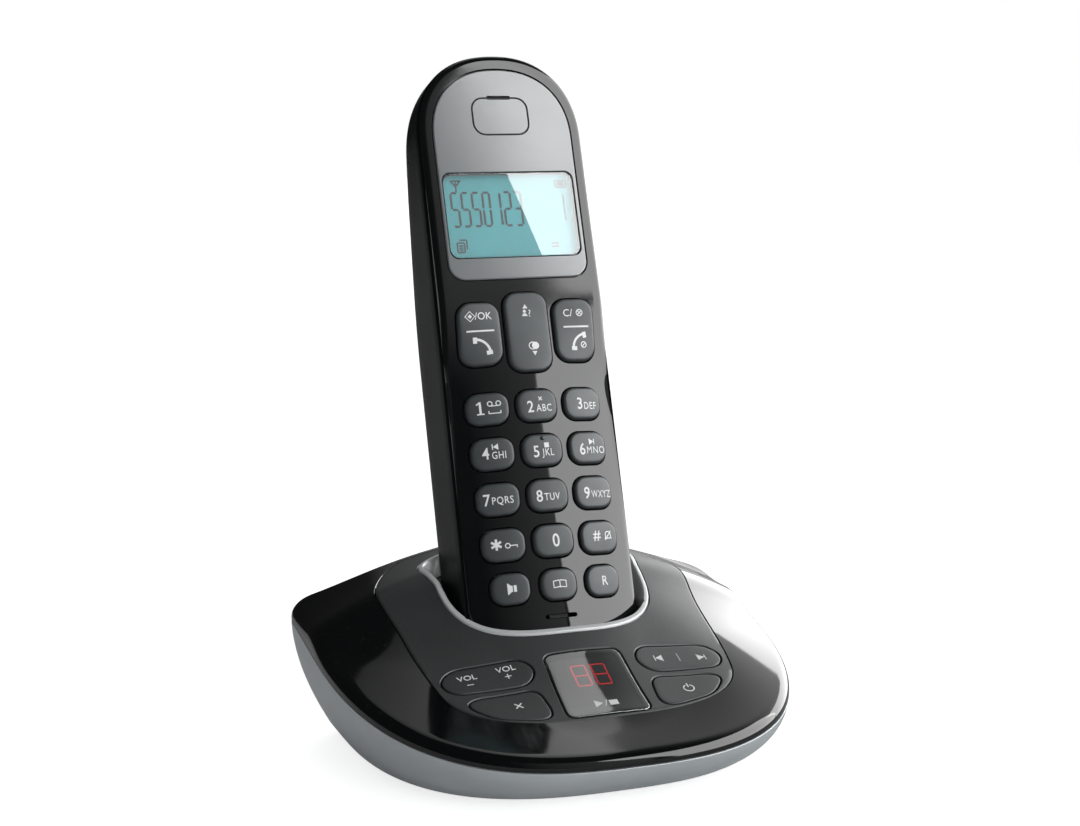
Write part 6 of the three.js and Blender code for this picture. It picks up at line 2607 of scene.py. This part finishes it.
@dataclass
class HandsetFittings(SubAssembly):
    """Battery cells, their springs and plates, and the charging contacts."""

    form: HandsetForm
    shells: HandsetShells
    cell_x: float = 5.6
    cell_y: float = 20.06
    cell_low: float = -30.8
    cell_length: float = 44.5
    cell_radius: float = 5.2
    button_radius: float = 1.7
    button_height: float = 0.7
    band_length: float = 12.0
    band_start: float = 0.9
    band_thick: float = 0.03
    terminal_half: float = 4.0
    terminal_low: float = -31.7
    terminal_thick: float = 0.6
    terminal_ease: float = 0.15
    contact_thick: float = 0.8
    contact_ease: float = 0.2

    def build(self) -> None:
        """Build the cells and the contacts."""
        shells, reach = self.shells, self.terminal_half
        half, deep = shells.contact_half_width, shells.contact_half_depth
        top, bottom = self.terminal_low + self.terminal_thick, self.form.bottom
        for side, name in ((-1, "left"), (1, "right")):
            self.build_cell(side, name)
            x = side * self.cell_x
            low = (x - reach, self.cell_y - reach, self.terminal_low)
            plate = blocked(low, (x + reach, self.cell_y + reach, top), self.terminal_ease)
            self.settle(plate, f"battery_contact_{name}_plate", STEEL, [f"battery_contact_{name}"])
            x = side * shells.contact_x
            low = (x - half, shells.contact_y - deep, bottom)
            high = (x + half, shells.contact_y + deep, bottom + self.contact_thick)
            pad = blocked(low, high, self.contact_ease)
            self.settle(pad, f"handset_contact_{name}_pad", GOLD, [f"handset_contact_{name}"])

    def build_cell(self, side: int, name: str) -> None:
        """Model a battery cell: jacket, band and button.

        Args:
            side: -1 for the left cell and 1 for the right one, which lies the other way round.
            name: The cell's side in words.
        """
        middle = (side * self.cell_x, self.cell_y, self.cell_low)
        radius, end, button, thick = self.cell_radius, self.cell_length, self.button_radius, self.band_thick
        shoulder = end - self.button_height
        profile = [
            (0.0, 0.0), (radius * 0.72, 0.0), (radius * 0.8, 0.25), (radius * 0.93, 0.1), (radius, 0.6),
            (radius, shoulder - 0.8), (radius * 0.94, shoulder - 0.15), (radius * 0.8, shoulder - 0.3),
            (radius * 0.74, shoulder - 0.5), (button, shoulder - 0.5), (button, end - 0.15),
            (button - 0.15, end), (0.0, end),
        ]
        if side > 0:
            profile = [(r, end - z) for r, z in reversed(profile)]
        self.settle(turned(profile, 48, middle), f"battery_{name}_cell", CELL_GREEN, [f"battery_{name}"])
        low = shoulder - self.band_start - self.band_length if side < 0 else end - shoulder + self.band_start
        high = low + self.band_length
        band = [
            (radius - thick, low), (radius + thick, low + thick), (radius + thick, high - thick),
            (radius - thick, high), (radius - thick, low),
        ]
        self.settle(turned(band, 48, middle), f"battery_{name}_band", CELL_BAND)


# Studio


@dataclass(frozen=True)
class Card:
    """A softbox, placed by the direction in which the machine sees it.

    Its azimuth is 0 in front of the machine and 90 on its right. One that is level hangs flat overhead.
    Its fade is its strength at one side and at the other.
    """

    name: str
    azimuth: float
    elevation: float
    distance: float
    width: float
    height: float
    radiance: float
    glossy: bool = True
    diffuse: bool = False
    level: bool = False
    roll: float = 0.0
    fade: tuple[float, float] = (1.0, 1.0)

    def hang(self, target: Vector) -> None:
        """Hang the softbox so that it shines on the machine.

        Args:
            target: The middle of the machine.
        """
        lamp = bpy.data.lights.new(self.name, "AREA")
        lamp.shape = "RECTANGLE"
        lamp.size, lamp.size_y = self.width, self.height
        lamp.energy = self.radiance * self.width * self.height * math.pi
        lamp.use_nodes = True
        sketch = Sketch(lamp.node_tree)
        place = sketch.node("ShaderNodeNewGeometry").outputs["Parametric"]
        across = sketch.node("ShaderNodeSeparateXYZ", {0: place}).outputs[0]
        strength = sketch.ranged(across, target=self.fade)
        lamp.node_tree.links.new(strength, lamp.node_tree.nodes["Emission"].inputs["Strength"])
        azimuth, elevation = math.radians(self.azimuth), math.radians(self.elevation)
        flat = math.cos(elevation)
        ahead = Vector((math.sin(azimuth) * flat, -math.cos(azimuth) * flat, math.sin(elevation)))
        turn = Matrix.Identity(4) if self.level else ahead.to_track_quat("Z", "Y").to_matrix().to_4x4()
        turn = turn @ Matrix.Rotation(math.radians(self.roll), 4, "Z")
        holder = bpy.data.objects.new(self.name, lamp)
        holder.matrix_world = Matrix.Translation(target + ahead * self.distance) @ turn
        holder.visible_camera = False
        holder.visible_glossy = self.glossy
        holder.visible_diffuse = self.diffuse
        holder.visible_transmission = False
        bpy.context.scene.collection.objects.link(holder)


@dataclass
class Studio:
    """Camera, softboxes, backdrop light and floor."""

    camera_place: tuple[float, float, float] = (-182.523, -470.7, 171.756)
    camera_turn: tuple[float, float, float] = (80.5774, -0.0443, -20.8006)
    lens: float = 66.67
    sensor: float = 36.0
    floor_size: float = 6.0
    floor_white: str = "f2f2f2"
    floor_lift: float = 0.75
    floor_roughness: float = 0.9
    ambient: float = 0.28
    dark_gloss: float = 0.03
    backdrop_gloss: float = 1.4
    cards: tuple[Card, ...] = (
        Card("right_softbox", 62, 12, 4.0, 5.26, 6.4, 6.0),
        Card("back_softbox", 118.8, 15, 4.0, 3.4, 2.6, 5.0),
        Card("left_glow", 4, 12, 4.2, 3.05, 6.4, 0.29, fade=(0.0, 1.8)),
        Card("ceiling_panel", 163.9, 57, 4.77, 2.4, 3.3, 0.78, level=True, roll=-11.5, fade=(0.3, 1.5)),
        Card("key_lamp", 24, 14, 4.0, 2.4, 2.4, 3.9, glossy=False, diffuse=True),
        Card("rear_lamp", 165, 30, 4.0, 2.4, 2.4, 1.9, glossy=False, diffuse=True),
    )

    def build(self) -> None:
        """Set up the studio."""
        self.place_camera()
        low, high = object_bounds()
        for card in self.cards:
            card.hang((low + high) / 2)
        self.light_world()
        self.lay_floor()
        bpy.context.scene.view_settings.view_transform = "Standard"

    def place_camera(self) -> None:
        """Stand the camera where the photograph was taken from."""
        data = bpy.data.cameras.new("camera")
        data.lens, data.sensor_width, data.sensor_fit = self.lens, self.sensor, "HORIZONTAL"
        camera = bpy.data.objects.new("camera", data)
        camera.location = Vector(self.camera_place) * MILLIMETRE
        camera.rotation_euler = [math.radians(angle) for angle in self.camera_turn]
        bpy.context.scene.collection.objects.link(camera)
        bpy.context.scene.camera = camera

    def light_world(self) -> None:
        """Draw the world: a white backdrop for the camera and a studio with a dark ceiling for gloss."""
        world = bpy.data.worlds.new("studio")
        sketch = Sketch.cleared(world)
        place = sketch.node("ShaderNodeTexCoord").outputs["Generated"]
        facing = sketch.node("ShaderNodeSeparateXYZ", {0: place})
        behind = sketch.ranged(facing.outputs[1], (-0.15, 0.3))
        right = sketch.ranged(facing.outputs[0], (0.08, 0.5))
        low = sketch.ranged(facing.outputs[2], (0.6, 0.87), (1.0, 0.12))
        backdrop = sketch.sum("MULTIPLY", sketch.sum("MULTIPLY", behind, right), low)
        gloss = sketch.ranged(backdrop, target=(self.dark_gloss, self.backdrop_gloss))
        ray = sketch.node("ShaderNodeLightPath").outputs["Is Glossy Ray"]
        glossy = sketch.sum("MULTIPLY", ray, sketch.sum("SUBTRACT", gloss, self.ambient))
        strength = sketch.sum("MAXIMUM", sketch.sum("ADD", glossy, self.ambient), sketch.straight_rays())
        back = sketch.node("ShaderNodeBackground", {0: WHITE, 1: strength})
        sketch.node("ShaderNodeOutputWorld", {0: back.outputs[0]})
        bpy.context.scene.world = world

    def lay_floor(self) -> None:
        """Lay the white floor, which is lifted to white for the camera but keeps the machine's shadow."""
        skin = bmesh.new()
        bmesh.ops.create_grid(skin, x_segments=1, y_segments=1, size=self.floor_size / 2)
        floor = loose_object(skin, "studio_floor")
        made = bpy.data.materials.new("studio_floor_white")
        sketch = Sketch.cleared(made)
        sockets = {
            "Base Color": seen_colour(self.floor_white),
            "Roughness": self.floor_roughness,
            "Specular IOR Level": 0.0,
            "Emission Color": WHITE,
            "Emission Strength": sketch.sum("MULTIPLY", sketch.straight_rays(), self.floor_lift),
        }
        shader = sketch.node("ShaderNodeBsdfPrincipled", sockets)
        sketch.node("ShaderNodeOutputMaterial", {0: shader.outputs[0]})
        floor.data.materials.append(made)
        floor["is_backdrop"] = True


def main() -> None:
    """Load the frame, build the machine round it and set up the studio."""
    logging.basicConfig(level=logging.INFO, format="%(name)s %(message)s")
    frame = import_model()
    base_form, handset_form = BaseForm(), HandsetForm()
    front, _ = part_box("base_case")
    shift = front[1] / MILLIMETRE - base_form.front_y
    scale = Matrix.Scale(MILLIMETRE, 4)
    base_place = scale @ Matrix.Translation((0.0, shift, 0.0))
    lift = Matrix.Translation((0.0, shift, handset_form.stand_height))
    handset_place = scale @ lift @ Matrix.Rotation(-handset_form.lean, 4, "X")

    shells = BaseShells(base_place, "base", base_form)
    keys = BaseKeys(base_place, "base", base_form, shells)
    shells.build(list(keys.outlines().values()))
    keys.build()
    BaseFittings(base_place, "base", base_form, shells).build()

    plan = KeypadPlan()
    plate = FacePlate(handset_place, "handset", handset_form)
    covers = HandsetShells(handset_place, "handset", handset_form)
    covers.build(plan.keys(), plate)
    plate.build()
    Keypad(handset_place, "handset", handset_form, plan).build()
    HandsetFittings(handset_place, "handset", handset_form, covers).build()

    dress_nodes(frame, INNER_DARK, "cradle_well", "loudspeaker", "earpiece", "microphone")
    dress_nodes(frame, KEY_GREY, "keypad_mat", "base_key_mat")
    dress_nodes(frame, CIRCUIT, "base_board", "handset_board")
    dress_nodes(frame, GOLD, "charge_contact_left", "charge_contact_right")
    Studio().build()


if __name__ == "__main__":
    main()
